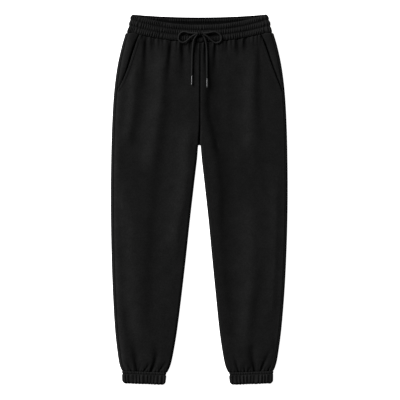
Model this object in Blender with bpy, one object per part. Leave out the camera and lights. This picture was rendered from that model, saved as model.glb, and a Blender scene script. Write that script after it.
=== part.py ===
"""Jogger sweatpants laid flat, front up: waistband, tied drawstring, leg panels, slash pockets and cuffs.

The frame is in metres with +Z up. X runs across the garment and the wearer's left is at +X, Y runs up the
legs to the waist, and the back panels lie on z = 0. Along the garment, "down" is the distance below the
waistband's top edge at the side folds. Sizes are in millimetres here and turned to metres by point().
"""

import math
from bisect import bisect_right
from collections import namedtuple

import bmesh
import bpy
from mathutils import Vector

MM = 0.001

# ---------------------------------------------------------------- driving dimensions, in millimetres
LENGTH = 999.6  # waistband top to cuff hem
FABRIC = 2.0  # brushed fleece
SEAM_GAP = 0.3  # between neighbouring pieces
WAIST_GAP = 0.4  # where the gathered band meets the panels

BAND_WALL = 3.2  # two layers of fleece round an elastic, in the stitched lines
BAND_LOFT = 17.0  # front and back of the band together
BAND_GATHERS = 108
CHANNEL_PUFF = 2.4
BAND_GATHER_DEPTH = 2.0

WAIST_SEAM = 48.5  # down, at the side folds
FRONT_TOP_DROP = 28.8  # how much lower the front of the waistband's edge lies than its side folds
FRONT_DROP = 24.1  # the same for the waist seam
BACK_DROP = 7.9
DROP_REACH = 181.0  # across, where the drop starts
DROP_POWER = 2.1
DROP_END = 290.0  # down, where no row is curved by it any more

CROTCH = 352.0
FORK_START = 262.0  # down, where the front seam starts to sink towards the crotch
FORK_WIDTH = 3.6
FORK_CLEARANCE = 2.7  # of the sunk seam's underside over the floor
CROTCH_TURN = 6.0  # above and below the crotch, where the flat seam turns into the two inseams
THIGH = 60.0  # below the crotch, where each leg has its own crown
INSEAM_CALM = (-8.0, 14.0)  # from the inseam, where crown and folds die out
SEAM_DITCH = 0.8  # of the centre front seam

SIDE_SEAM_RIGHT = 9.0  # the side seams are rolled this far to the front
SIDE_SEAM_LEFT = 6.5
LEAST_ROLL = 1.0  # past the round of the side fold

POCKET_TOP_ACROSS = 164.5  # the slanted edge, from the waist seam
POCKET_BOTTOM = 206.0  # down to the side seam
POCKET_BOW = 4.5  # how far the edge is hollowed towards its lower end
FACING_OVERLAP = 12.0
FACING_SLOPE = 0.15  # it sinks under the front panel
FACING_RISE = (4.0, 16.0)  # widths shown, between which it rises to the side seam
CALM_START, CALM_END = 8.0, 26.0  # from the pocket edge, where the folds die out

CUFF_SEAM = 963.5
CUFF_HEIGHT = 32.0
CUFF_WALL = 3.6
CUFF_LOFT = 13.5
CUFF_GATHERS = 26
CUFF_PUFF = 0.6
CUFF_GATHER_DEPTH = 1.8
CUFF_CENTRE = 144.7  # from the centre line
CUFF_TILT = 0.035  # slope of the hem, square to the leg
TILT_START = 700.0

CORD_DIAMETER = 4.5
AGLET_DIAMETER = 4.8
AGLET_LENGTH = 25.6
CORD_LIFT = 0.4  # clear of the cloth

# ---------------------------------------------------------------- tables
# One row for each cross-section of the legs. centre is where the garment's centre line lies, outer and inner
# are the distances of the side fold and the inseam from it, loft is the height at the folds and crown what is
# added between them.
Section = namedtuple("Section", "down centre outer inner loft crown")
LEG = [
    Section(48.5, 0.8, 198.9, 0.0, 13.6, 0.6),
    Section(83, 0.8, 209.1, 0.0, 12.0, 1.0),
    Section(132, 0.6, 220.1, 0.0, 10.2, 1.0),
    Section(181, 0.5, 227.3, 0.0, 9.2, 0.6),
    Section(229, 0.4, 231.8, 0.0, 8.6, 0.2),
    Section(294, 0.3, 235.3, 0.0, 8.3, -0.2),
    Section(359, 0.2, 237.3, 4.2, 8.2, -0.4),
    Section(461, 0.0, 238.6, 15.7, 8.2, -0.6),
    Section(559, -0.3, 238.0, 26.7, 8.2, -0.6),
    Section(656, -0.9, 235.6, 36.5, 8.2, -0.6),
    Section(753, -1.7, 231.3, 46.9, 8.4, -0.2),
    Section(850, -2.9, 224.4, 58.4, 9.4, 1.0),
    Section(905, -3.5, 217.9, 67.0, 10.8, 2.6),
    Section(937, -3.9, 213.0, 73.4, 11.8, 2.6),
    Section(952, -4.2, 209.0, 78.2, 12.4, 1.6),
    Section(963.5, -4.3, 204.2, 84.0, 12.8, 0.6),
]

# One row for each fold of the front panels. A trough runs from (x_top, top) to (x_end, end), x across and top
# and end down the garment. It is deepest at "deep": 0 at its top, 1 at its end, 0.5 midway. A negative depth
# is a ridge.
Fold = namedtuple("Fold", "x_top top x_end end depth width deep")
FOLDS = [
    # gathers below the waistband, wearer's right
    Fold(-149.8, 58, -166.0, 262, 4.1, 7.0, 0.0),
    Fold(-127.9, 60, -129.3, 110, 3.5, 5.0, 0.0),
    Fold(-105.0, 62, -107.0, 92, 2.2, 5.0, 0.0),
    Fold(-79.3, 64, -104.7, 324, 4.6, 6.5, 0.0),
    Fold(-46.7, 66, -41.3, 160, 3.8, 5.5, 0.0),
    Fold(-27.0, 67, -25.6, 120, 2.7, 4.5, 0.0),
    # gathers below the waistband, wearer's left
    Fold(23.5, 67, 22.2, 136, 3.0, 4.5, 0.0),
    Fold(40.3, 67, 33.5, 337, 4.6, 6.0, 0.0),
    Fold(69.4, 65, 70.8, 116, 3.2, 5.0, 0.0),
    Fold(99.1, 63, 103.2, 125, 3.5, 5.0, 0.0),
    Fold(124.0, 61, 124.8, 106, 3.8, 5.0, 0.0),
    Fold(158.0, 55, 171.5, 262, 3.8, 7.0, 0.0),
    # soft folds down the legs
    Fold(-184.0, 440, -190.0, 590, 1.3, 14.0, 0.5),
    Fold(-133.0, 490, -141.0, 650, 1.3, 14.0, 0.5),
    Fold(-60.0, 390, -74.0, 660, -1.4, 17.0, 0.5),
    Fold(-144.0, 715, -133.0, 865, 2.0, 13.0, 0.5),
    Fold(-176.0, 760, -168.0, 880, -1.4, 13.0, 0.5),
    Fold(39.7, 350, 65.4, 590, 2.4, 12.0, 0.5),
    Fold(66.7, 540, 56.0, 800, 2.0, 12.0, 0.5),
    Fold(129.0, 600, 112.0, 890, -1.7, 15.0, 0.5),
    Fold(162.0, 700, 138.0, 905, 2.1, 12.0, 0.5),
    Fold(169.0, 350, 185.0, 520, 1.3, 13.0, 0.5),
    # gathers above the cuffs, wearer's right
    Fold(-201.6, 925, -189.0, 963, 2.2, 5.0, 1.0),
    Fold(-187.0, 895, -171.9, 963, 3.4, 5.5, 1.0),
    Fold(-157.5, 932, -162.4, 963, 2.6, 4.5, 1.0),
    Fold(-137.0, 938, -146.0, 963, 2.4, 4.5, 1.0),
    Fold(-121.0, 890, -130.5, 963, 4.2, 5.5, 1.0),
    Fold(-95.0, 936, -107.5, 963, 2.8, 4.5, 1.0),
    # gathers above the cuffs, wearer's left
    Fold(93.0, 915, 105.6, 963, 3.0, 5.0, 1.0),
    Fold(118.5, 938, 122.0, 963, 2.2, 4.5, 1.0),
    Fold(137.5, 938, 134.0, 963, 2.4, 4.0, 1.0),
    Fold(139.0, 895, 148.5, 963, 4.0, 5.5, 1.0),
    Fold(187.0, 905, 163.5, 963, 3.8, 5.5, 1.0),
    Fold(199.0, 936, 184.0, 963, 2.4, 4.5, 1.0),
]

# The waistband's channels, from its top edge (share 0) to the waist seam (share 1): half is the half width of
# the flattened ring, puff is 1 on a channel's crest and 0 in a stitched line, gather is the share of the
# gathers' depth.
BandRow = namedtuple("BandRow", "share half puff gather")
BAND_OUTER = [
    BandRow(0.0, 184.0, 0.1, 0.5),
    BandRow(0.15, 187.3, 1.0, 1.0),
    BandRow(0.35, 189.3, 0.0, 0.3),
    BandRow(0.53, 190.9, 1.0, 1.0),
    BandRow(0.71, 192.3, 0.0, 0.3),
    BandRow(0.86, 193.8, 1.0, 1.0),
    BandRow(1.0, 196.0, 0.2, 0.5),
]
BAND_INNER_SHARES = (0.03, 0.98)

# The cuffs, from their seam to the hem.
CUFF_OUTER = [
    BandRow(0.0, 57.9, 0.3, 0.4),
    BandRow(0.17, 58.4, 0.8, 1.0),
    BandRow(0.53, 58.6, 1.0, 1.0),
    BandRow(0.86, 57.4, 1.0, 1.0),
    BandRow(1.0, 54.6, 0.3, 0.7),
]
CUFF_INNER_SHARES = (0.02, 0.97)

# The drawstring's strands, by hand: x across, down the garment, and lift of the strand above the cloth.
StrandPoint = namedtuple("StrandPoint", "x down lift")
LEAD_RIGHT = [
    StrandPoint(-30.5, 48.6, 0.0),
    StrandPoint(-24.0, 48.2, 0.0),
    StrandPoint(-17.0, 48.0, 0.0),
    StrandPoint(-9.0, 47.9, 0.2),
]
LOOP_RIGHT = [
    StrandPoint(-8.7, 45.4, 5.6),
    StrandPoint(-16.5, 44.6, 5.4),
    StrandPoint(-26.0, 44.8, 5.2),
    StrandPoint(-38.0, 44.2, 2.4),
    StrandPoint(-48.0, 47.8, 0.4),
    StrandPoint(-56.0, 56.0, 0.0),
    StrandPoint(-55.5, 67.0, 0.0),
    StrandPoint(-46.0, 73.2, 0.0),
    StrandPoint(-33.5, 68.6, 0.4),
    StrandPoint(-21.5, 57.6, 3.6),
    StrandPoint(-9.5, 50.6, 5.4),
]
TAIL_RIGHT = [
    StrandPoint(-5.4, 53.6, 4.2),
    StrandPoint(-10.6, 58.0, 2.2),
    StrandPoint(-16.2, 68.0, 0.4),
    StrandPoint(-19.6, 84.0, 0.0),
    StrandPoint(-20.9, 104.0, 0.0),
    StrandPoint(-21.2, 124.0, 0.0),
    StrandPoint(-21.2, 144.0, 0.0),
    StrandPoint(-21.1, 164.0, 0.0),
]
LEAD_LEFT = [
    StrandPoint(32.0, 48.6, 0.0),
    StrandPoint(25.5, 48.2, 0.0),
    StrandPoint(18.5, 48.0, 0.0),
    StrandPoint(10.0, 47.9, 0.2),
]
LOOP_LEFT = [
    StrandPoint(9.8, 45.4, 5.6),
    StrandPoint(18.0, 44.4, 5.4),
    StrandPoint(28.0, 44.6, 5.2),
    StrandPoint(40.0, 44.6, 2.4),
    StrandPoint(51.5, 48.6, 0.4),
    StrandPoint(59.2, 58.0, 0.0),
    StrandPoint(57.5, 69.6, 0.0),
    StrandPoint(47.0, 74.8, 0.0),
    StrandPoint(35.0, 69.4, 0.4),
    StrandPoint(23.0, 58.2, 3.6),
    StrandPoint(10.6, 50.6, 5.4),
]
TAIL_LEFT = [
    StrandPoint(6.4, 53.6, 4.2),
    StrandPoint(12.2, 58.6, 2.2),
    StrandPoint(17.0, 68.0, 0.4),
    StrandPoint(19.6, 84.0, 0.0),
    StrandPoint(20.4, 104.0, 0.0),
    StrandPoint(20.4, 124.0, 0.0),
    StrandPoint(20.0, 148.0, 0.0),
    StrandPoint(19.6, 171.0, 0.0),
]
KNOT_CENTRE = (0.5, 48.4)  # across and down
KNOT_SIZE = (17.6, 10.4, 10.6)  # across, along and through
STRAND_STEP = 9.0  # between the points of a strand's tube
LOOP_STEP = 6.0  # closer round a small bend

# The rows of the panels' walls, down the garment, close where the cloth is gathered and at the crotch.
FRONT_ROWS = (
    48.5, 56, 65, 76, 90, 108, 132, 162, 194, 206, 236, 272, 310, 336, 346, 351, 353, 360,
    388, 440, 505, 575, 645, 712, 776, 822, 858, 886, 908, 925, 940, 952, 963.5,
)
ROWS_OF_THE_FRONT_ALONE = (56, 76, 108)
BACK_ROWS = tuple(row for row in FRONT_ROWS if row not in ROWS_OF_THE_FRONT_ALONE)
FACING_ROWS = (48.5, 65, 90, 132, 162, 194, 206, 214)
TURN_COLUMNS = 3  # round the inseam
FRONT_COLUMNS = 23  # from the inseam to the side seam, crowded round the folds
FOLD_CROWDING = 4.5
FOLD_COLUMNS = 5  # round the side fold
FLOOR_COLUMNS = 4
FACING_COLUMNS = 5

BLACK_FLEECE = (0.012, 0.0125, 0.013)
BLACK_CORD = (0.018, 0.0185, 0.019)
STEEL = (0.42, 0.42, 0.43)


# ---------------------------------------------------------------- small helpers
def smooth_step(start, end, value):
    """0 before start, 1 after end, and smooth between."""
    share = min(max((value - start) / (end - start), 0.0), 1.0)
    return share * share * (3 - 2 * share)


def read(table, key, column, at):
    """A column of a table at a place between its rows, on a smooth curve through them."""
    places = [getattr(row, key) for row in table]
    values = [getattr(row, column) for row in table]
    last = len(places) - 1
    i = min(max(bisect_right(places, at) - 1, 0), last - 1)

    def slope(k):
        before, after = max(k - 1, 0), min(k + 1, last)
        return (values[after] - values[before]) / (places[after] - places[before])

    span = places[i + 1] - places[i]
    share = min(max((at - places[i]) / span, 0.0), 1.0)
    square, cube = share * share, share * share * share
    return (
        (2 * cube - 3 * square + 1) * values[i]
        + (cube - 2 * square + share) * span * slope(i)
        + (3 * square - 2 * cube) * values[i + 1]
        + (cube - square) * span * slope(i + 1)
    )


def leg(column, down):
    return read(LEG, "down", column, down)


def point(x, down, z):
    """A point of the garment, in millimetres, as a vector of the row frame in metres."""
    return Vector((x, LENGTH / 2 - down, z)) * MM


# ---------------------------------------------------------------- the form of the laid garment
def waist_drop(x, row, drop):
    """How far the waist's curve carries a row of the cloth down, at a place across."""
    across = min(abs(x) / DROP_REACH, 1.0)
    return drop * (1 - across**DROP_POWER) * (1 - smooth_step(WAIST_SEAM, DROP_END, row))


def place(side, row, q, drop):
    """(x, down) of a place q from the centre line on a row of a leg."""
    x = leg("centre", row) + side * q
    tilt = CUFF_TILT * (leg("outer", row) - q) * smooth_step(TILT_START, CUFF_SEAM, row)
    return x, row + waist_drop(x, row, drop) + tilt


def side_seam(side, row):
    """How far from the centre line a side seam lies on the front."""
    rolled = SIDE_SEAM_LEFT if side > 0 else SIDE_SEAM_RIGHT
    return leg("outer", row) - max(rolled, leg("loft", row) / 2 + LEAST_ROLL)


def pocket_edge(side, row):
    """The front panel's outer edge: the slanted pocket opening, and below it the side seam."""
    if row >= POCKET_BOTTOM:
        return side_seam(side, row)
    share = (row - WAIST_SEAM) / (POCKET_BOTTOM - WAIST_SEAM)
    foot = side_seam(side, POCKET_BOTTOM)
    hollow = POCKET_BOW * math.sin(math.pi * share) * share
    return POCKET_TOP_ACROSS + (foot - POCKET_TOP_ACROSS) * share - hollow


def inseam(row):
    return leg("inner", row) if row > CROTCH else SEAM_GAP / 2


def turned(row):
    """0 where the inner edge is the flat centre seam, 1 where it turns to the inseam."""
    return smooth_step(CROTCH - CROTCH_TURN, CROTCH + CROTCH_TURN, row)


def fold_share(fold, x, down):
    """How much of a fold's depth shows at a place."""
    share = (down - fold.top) / (fold.end - fold.top)
    if fold.deep == 0.0:
        strength = 1 - smooth_step(0.0, 1.0, share)
    elif fold.deep == 1.0:
        strength = smooth_step(0.0, 1.0, share)
    else:
        strength = smooth_step(0.0, 0.5, share) * (1 - smooth_step(0.5, 1.0, share))
    middle = fold.x_top + (fold.x_end - fold.x_top) * share
    return strength * math.exp(-(((x - middle) / fold.width) ** 2)) if strength > 0 else 0.0


def fold_relief(x, down):
    """The height that the folds add to the front panels."""
    return -sum(fold.depth * fold_share(fold, x, down) for fold in FOLDS)


def crowded_columns(side, row, start, end, count):
    """Distances from the centre line for the columns of a row, close together where a fold is deep."""
    step = (end - start) / 200
    passed = [0.0]
    for i in range(200):
        x, down = place(side, row, start + (i + 0.5) * step, FRONT_DROP)
        depth = sum(abs(fold.depth) * fold_share(fold, x, down) for fold in FOLDS)
        passed.append(passed[-1] + 1 + FOLD_CROWDING * min(depth / 2, 1.0))
    columns = []
    for i in range(count + 1):
        target = passed[-1] * i / count
        k = min(bisect_right(passed, target) - 1, 199)
        columns.append(start + (k + (target - passed[k]) / (passed[k + 1] - passed[k])) * step)
    return columns


def front_height(side, row, q):
    """Height of the front panel's outer face, before its inner edge turns down."""
    x, down = place(side, row, q, FRONT_DROP)
    outer, inner = leg("outer", row), inseam(row)
    hips = 1 - (q / outer) ** 2
    share = min(max((q - inner) / (outer - inner), 0.0), 1.0)
    leg_only = 4 * share * (1 - share)
    forked = smooth_step(FORK_START, CROTCH + THIGH, row)
    crown = leg("crown", row) * (hips * (1 - forked) + leg_only * forked)
    edge = pocket_edge(side, row)
    calm = smooth_step(CALM_START, CALM_END, edge - q)
    if row > CROTCH - THIGH / 2:
        calm *= smooth_step(*INSEAM_CALM, q - inner)
    loft = leg("loft", row)
    fork = (loft + crown - FABRIC - FORK_CLEARANCE) * smooth_step(FORK_START, CROTCH - CROTCH_TURN / 2, row)
    groove = max(SEAM_DITCH, fork * (1 - turned(row))) * math.exp(-((q / FORK_WIDTH) ** 2))
    return loft + crown * calm + fold_relief(x, down) * calm - groove * (1 - turned(row))


def inner_turn(row, along):
    """How the cloth turns at the inseam, at a length from its edge: (distance from the edge, drop, angle)."""
    radius = (leg("loft", row) - SEAM_GAP) / 2
    width = radius * math.pi / 2
    angle = max(turned(row) * math.pi / 2, 1e-4)
    bend = width / angle
    now = angle * max(1 - along / width, 0.0)
    flat = max(along - width, 0.0)
    return bend * (math.sin(angle) - math.sin(now)) + flat, bend * (1 - math.cos(now)), now


def turn_width(row):
    return (leg("loft", row) - SEAM_GAP) / 2 * math.pi / 2


def front_point(side, row, along):
    """A point of a front panel's outer face, at a length along the row from the inner edge."""
    away, drop, angle = inner_turn(row, along)
    q = inseam(row) + away
    x, down = place(side, row, q, FRONT_DROP)
    plateau = leg("loft", row)
    height = plateau + (front_height(side, row, q) - plateau) * math.cos(angle)
    return point(x, down, height - drop)


def back_point(side, row, along):
    """A point of a back panel's outer face, at a length along the row from the side seam on the front."""
    radius = leg("loft", row) / 2
    outer = leg("outer", row)
    strip = outer - radius - side_seam(side, row)
    fold = math.pi * radius
    floor_start = outer - radius
    if along < strip:
        q, z = side_seam(side, row) + along, 2 * radius
    elif along < strip + fold:
        angle = (along - strip) / radius
        q, z = floor_start + radius * math.sin(angle), radius + radius * math.cos(angle)
    else:
        away, drop, _ = inner_turn(row, floor_length(row) - (along - strip - fold))
        q, z = inseam(row) + away, drop
    x, down = place(side, row, q, BACK_DROP if z < radius else FRONT_DROP)
    return point(x, down, z)


def floor_length(row):
    """The length of a back panel's row from the side fold to its inner edge."""
    flat_start = inner_turn(row, turn_width(row))[0]
    return leg("outer", row) - leg("loft", row) / 2 - inseam(row) - flat_start + turn_width(row)


def facing_point(side, row, along):
    """A point of a pocket facing's outer face, at a length along the row from its hidden inner edge."""
    seam, edge = side_seam(side, row), pocket_edge(side, row)
    start = min(edge, seam) - FACING_OVERLAP
    q = start + along
    under = FABRIC + 2 * SEAM_GAP
    shown = max(seam - edge, 0.1)
    sunk = max(1 - smooth_step(*FACING_RISE, shown), smooth_step(0, 1, (seam - q) / shown))
    x, down = place(side, row, q, FRONT_DROP)
    return point(x, down, leg("loft", row) - under * sunk - FACING_SLOPE * max(edge - q, 0.0))


# ---------------------------------------------------------------- solids
def wall_section(outline, lengths, thickness):
    """(outer points, inner points) of one section of a cloth wall. The inner ones lie square to the outer."""
    step = 1e-3
    outer, inner = [], []
    for along in lengths:
        here = outline(along)
        before = outline(along - step) if along > lengths[0] else here
        after = outline(along + step) if along < lengths[-1] else here
        run = after - before
        away = Vector((run.z, 0, -run.x)).normalized() * thickness * MM
        outer.append(here)
        inner.append(here + away)
    return outer, inner


def loft(name, sections, material, joined=False):
    """A closed solid through sections, each an outer and an inner line of points. joined makes it a ring."""
    mesh = bpy.data.meshes.new(name)
    bm = bmesh.new()
    loops = [[bm.verts.new(p) for p in [*outer, *reversed(inner)]] for outer, inner in sections]
    around = len(loops[0])
    pairs = list(zip(loops, loops[1:]))
    if joined:
        pairs.append((loops[-1], loops[0]))
    for first, second in pairs:
        for j in range(around):
            k = (j + 1) % around
            bm.faces.new((first[j], first[k], second[k], second[j]))
    if not joined:
        for end in (loops[0], loops[-1]):
            for j in range(around // 2 - 1):
                bm.faces.new((end[j], end[j + 1], end[around - 2 - j], end[around - 1 - j]))
    bmesh.ops.recalc_face_normals(bm, faces=bm.faces)
    bm.to_mesh(mesh)
    bm.free()
    mesh.materials.append(material)
    mesh.shade_smooth()
    return add_object(name, mesh)


def add_object(name, data):
    made = bpy.data.objects.new(name, data)
    GARMENT.objects.link(made)
    return made


def spread(start, end, count):
    return [start + (end - start) * i / count for i in range(count + 1)]


def front_panel(name, side, material):
    sections = []
    for row in FRONT_ROWS:
        gap = SEAM_GAP if row >= POCKET_BOTTOM else 0.0
        row = row - SEAM_GAP if row == CUFF_SEAM else row
        width = turn_width(row)
        flat_start = inseam(row) + inner_turn(row, width)[0]
        edge = pocket_edge(side, row) - gap
        columns = crowded_columns(side, row, flat_start, edge, FRONT_COLUMNS - TURN_COLUMNS)
        lengths = spread(0.0, width, TURN_COLUMNS)[:-1] + [q - flat_start + width for q in columns]
        sections.append(wall_section(lambda a, r=row: front_point(side, r, a), lengths, FABRIC * side))
    return loft(name, sections, material)


def back_panel(name, side, material):
    sections = []
    for row in BACK_ROWS:
        row = row - SEAM_GAP if row == CUFF_SEAM else row
        radius = leg("loft", row) / 2
        strip = leg("outer", row) - radius - side_seam(side, row)
        fold_end = strip + math.pi * radius
        end = fold_end + floor_length(row)
        turn = end - turn_width(row)
        lengths = (
            [0.0]
            + spread(strip, fold_end, FOLD_COLUMNS)
            + spread(fold_end, turn, FLOOR_COLUMNS)[1:]
            + spread(turn, end, TURN_COLUMNS)[1:]
        )
        sections.append(wall_section(lambda a, r=row: back_point(side, r, a), lengths, FABRIC * side))
    return loft(name, sections, material)


def pocket_facing(name, side, material):
    sections = []
    for row in FACING_ROWS:
        seam = side_seam(side, row) - SEAM_GAP
        length = seam - (min(pocket_edge(side, row), seam) - FACING_OVERLAP)
        sections.append(
            wall_section(
                lambda a, r=row: facing_point(side, r, a), spread(0.0, length, FACING_COLUMNS), FABRIC * side
            )
        )
    return loft(name, sections, material)


def ring_point(half, loft_height, inset, share):
    """(x, z, normal x, normal z) on a flattened ring of that half width, inset from its outer face. share runs
    from 0 to 1 once round: over the top from -x to +x and back along the floor. The side folds are round."""
    radius = loft_height / 2
    straight = 2 * (half - radius)
    fold = math.pi * radius
    along = share * 2 * (straight + fold)
    if along < fold / 2:
        angle, centre = math.pi - along / radius, -half + radius
    elif along < fold / 2 + straight:
        angle, centre = math.pi / 2, -half + radius + along - fold / 2
    elif along < 1.5 * fold + straight:
        angle, centre = math.pi / 2 - (along - fold / 2 - straight) / radius, half - radius
    elif along < 1.5 * fold + 2 * straight:
        angle, centre = -math.pi / 2, half - radius - (along - 1.5 * fold - straight)
    else:
        angle, centre = math.pi + (2 * (straight + fold) - along) / radius, -half + radius
    nx, nz = math.cos(angle), math.sin(angle)
    reach = radius - inset
    return centre + nx * reach, radius + nz * reach, nx, nz


def band(name, rows, inner_shares, gathers, sizes, down_at, centre, material):
    """An elastic band: a flattened ring with gathers outside and a plain inside. sizes holds its wall, loft,
    puff and gather depth. down_at gives how far down a share of its height lies, at a place across, on the
    upper side (1) or the lower one (-1).
    """
    wall, loft_height, puff, depth = sizes
    reliefs = puff + depth / 2
    sections = []
    for i in range(2 * gathers):
        around = (i + 0.5) / (2 * gathers)
        wave = depth / 2 if i % 2 else -depth / 2
        outer, inner = [], []
        for row in rows:
            bulge = puff * row.puff + wave * row.gather
            x, z, nx, nz = ring_point(row.half, loft_height, reliefs - bulge, around)
            outer.append(point(centre + x, down_at(centre + x, nz, row.share), z))
        for share in inner_shares:
            half = read(rows, "share", "half", share)
            x, z, nx, nz = ring_point(half, loft_height, reliefs + wall, around)
            inner.append(point(centre + x, down_at(centre + x, nz, share), z))
        sections.append((outer, inner))
    return loft(name, sections, material, joined=True)


def waistband(material):
    def down_at(x, up, share):
        front = 0.5 + 0.5 * up
        top = waist_drop(x, 0, BACK_DROP + (FRONT_TOP_DROP - BACK_DROP) * front)
        seam = waist_drop(x, 0, BACK_DROP + (FRONT_DROP - BACK_DROP) * front) + WAIST_SEAM - WAIST_GAP
        return top + (seam - top) * share

    sizes = (BAND_WALL, BAND_LOFT, CHANNEL_PUFF, BAND_GATHER_DEPTH)
    centre = leg("centre", WAIST_SEAM)
    return band("waistband", BAND_OUTER, BAND_INNER_SHARES, BAND_GATHERS, sizes, down_at, centre, material)


def cuff(name, side, material):
    middle = leg("centre", CUFF_SEAM)
    centre = middle + side * CUFF_CENTRE

    def down_at(x, up, share):
        tilt = CUFF_TILT * (leg("outer", CUFF_SEAM) - side * (x - middle))
        return CUFF_SEAM + tilt + share * CUFF_HEIGHT

    sizes = (CUFF_WALL, CUFF_LOFT, CUFF_PUFF, CUFF_GATHER_DEPTH)
    return band(name, CUFF_OUTER, CUFF_INNER_SHARES, CUFF_GATHERS, sizes, down_at, centre, material)


# ---------------------------------------------------------------- drawstring
def cloth_top(x, down):
    """Height of the garment's upper face round a place, where a strand of the drawstring lies on it."""
    waist = WAIST_SEAM + waist_drop(x, WAIST_SEAM, FRONT_DROP)
    if down < waist + CORD_DIAMETER / 2:
        return BAND_LOFT
    side = 1 if x > 0 else -1
    highest = 0.0
    for aside in (-CORD_DIAMETER / 2, 0.0, CORD_DIAMETER / 2):
        for along in (-6.0, 0.0, 6.0):
            near, row = x + aside, down + along
            for _ in range(4):
                row = down + along - waist_drop(near, row, FRONT_DROP)
            row = max(row, WAIST_SEAM)
            q = abs(near - leg("centre", row))
            highest = max(highest, front_height(side, row, q))
    return highest


def strand_points(route, step):
    """Points step apart on a smooth curve through a strand's route, which lies on the cloth."""
    knots = [
        Vector((p.x, p.down, cloth_top(p.x, p.down) + CORD_DIAMETER / 2 + CORD_LIFT + p.lift)) for p in route
    ]
    fine = []
    for i in range(len(knots) - 1):
        before, after = knots[max(i - 1, 0)], knots[min(i + 2, len(knots) - 1)]
        start, end = knots[i], knots[i + 1]
        leave, arrive = (end - before) / 2, (after - start) / 2
        for k in range(16):
            t = k / 16
            fine.append(
                start * (2 * t**3 - 3 * t**2 + 1)
                + leave * (t**3 - 2 * t**2 + t)
                + end * (3 * t**2 - 2 * t**3)
                + arrive * (t**3 - t**2)
            )
    fine.append(knots[-1])
    lengths = [0.0]
    for a, b in zip(fine, fine[1:]):
        lengths.append(lengths[-1] + (b - a).length)
    count = max(2, round(lengths[-1] / step))
    spaced = []
    for i in range(count + 1):
        target = lengths[-1] * i / count
        k = min(bisect_right(lengths, target) - 1, len(fine) - 2)
        share = (target - lengths[k]) / (lengths[k + 1] - lengths[k])
        spaced.append(fine[k].lerp(fine[k + 1], share))
    return [point(p.x, p.y, p.z) for p in spaced]


def strand(name, route, step, material):
    """A strand of the drawstring: a round tube along its route."""
    curve = bpy.data.curves.new(name, "CURVE")
    curve.dimensions = "3D"
    curve.bevel_depth = CORD_DIAMETER / 2 * MM
    curve.bevel_resolution = 2
    curve.use_fill_caps = True
    spline = curve.splines.new("POLY")
    places = strand_points(route, step)
    spline.points.add(len(places) - 1)
    for p, place_of in zip(spline.points, places):
        p.co = (*place_of, 1.0)
    curve.materials.append(material)
    return add_object(name, curve)


def aglet(name, route, material):
    """The metal tip that follows a tail's end, in the tail's own direction across."""
    ends = strand_points(route, STRAND_STEP)
    run = (ends[-1] - ends[-2]).normalized()
    run.z = 0.0
    run.normalize()
    start = ends[-1] + run * (SEAM_GAP * MM)
    finish = start + run * (AGLET_LENGTH * MM)
    down_of = [LENGTH / 2 - p.y / MM for p in (start, finish)]
    tops = [cloth_top(p.x / MM, down) for p, down in zip((start, finish), down_of)]
    middle = (start + finish) / 2
    tops.append(cloth_top(middle.x / MM, sum(down_of) / 2))
    middle.z = max(ends[-1].z, (max(tops) + AGLET_DIAMETER / 2 + CORD_LIFT) * MM)
    bpy.ops.mesh.primitive_cylinder_add(
        vertices=12, radius=AGLET_DIAMETER / 2 * MM, depth=AGLET_LENGTH * MM, location=middle
    )
    made = bpy.context.object
    made.name = made.data.name = name
    made.rotation_mode = "QUATERNION"
    made.rotation_quaternion = run.to_track_quat("Z", "Y")
    move_to_garment(made, material)
    return made


def bow_knot(material):
    """The knot of the bow, a flattened lump that the strands run into."""
    bpy.ops.mesh.primitive_uv_sphere_add(segments=16, ring_count=8, radius=0.5 * MM)
    made = bpy.context.object
    made.name = made.data.name = "bow_knot"
    across, along, through = KNOT_SIZE
    lowest = BAND_LOFT - SEAM_GAP
    made.scale = (across, along, through)
    made.location = point(KNOT_CENTRE[0], KNOT_CENTRE[1], lowest + through / 2)
    bpy.ops.object.transform_apply(location=False, rotation=False, scale=True)
    move_to_garment(made, material)
    return made


def move_to_garment(made, material):
    for collection in list(made.users_collection):
        collection.objects.unlink(made)
    GARMENT.objects.link(made)
    made.data.materials.append(material)
    made.data.shade_smooth()


# ---------------------------------------------------------------- materials and the whole
def finish_material(name, colour, roughness, metallic):
    material = bpy.data.materials.new(name)
    material.use_nodes = True
    shader = material.node_tree.nodes["Principled BSDF"]
    shader.inputs["Base Color"].default_value = (*colour, 1)
    shader.inputs["Roughness"].default_value = roughness
    shader.inputs["Metallic"].default_value = metallic
    return material


def build():
    fleece = finish_material("black_fleece", BLACK_FLEECE, 0.95, 0.0)
    cord = finish_material("black_cord", BLACK_CORD, 0.8, 0.0)
    steel = finish_material("aglet_steel", STEEL, 0.3, 1.0)
    for side, word in ((1, "left"), (-1, "right")):
        front_panel(f"front_{word}", side, fleece)
        back_panel(f"back_{word}", side, fleece)
        pocket_facing(f"pocket_facing_{word}", side, fleece)
        cuff(f"cuff_{word}", side, fleece)
    waistband(fleece)
    bow_knot(cord)
    strand("drawstring_lead_right", LEAD_RIGHT, STRAND_STEP, cord)
    strand("drawstring_loop_right", LOOP_RIGHT, LOOP_STEP, cord)
    strand("drawstring_tail_right", TAIL_RIGHT, STRAND_STEP, cord)
    strand("drawstring_lead_left", LEAD_LEFT, STRAND_STEP, cord)
    strand("drawstring_loop_left", LOOP_LEFT, LOOP_STEP, cord)
    strand("drawstring_tail_left", TAIL_LEFT, STRAND_STEP, cord)
    aglet("aglet_right", TAIL_RIGHT, steel)
    aglet("aglet_left", TAIL_LEFT, steel)


for old in list(bpy.data.objects):
    bpy.data.objects.remove(old)
GARMENT = bpy.data.collections.new("jogger_sweatpants")
bpy.context.scene.collection.children.link(GARMENT)
build()
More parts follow.
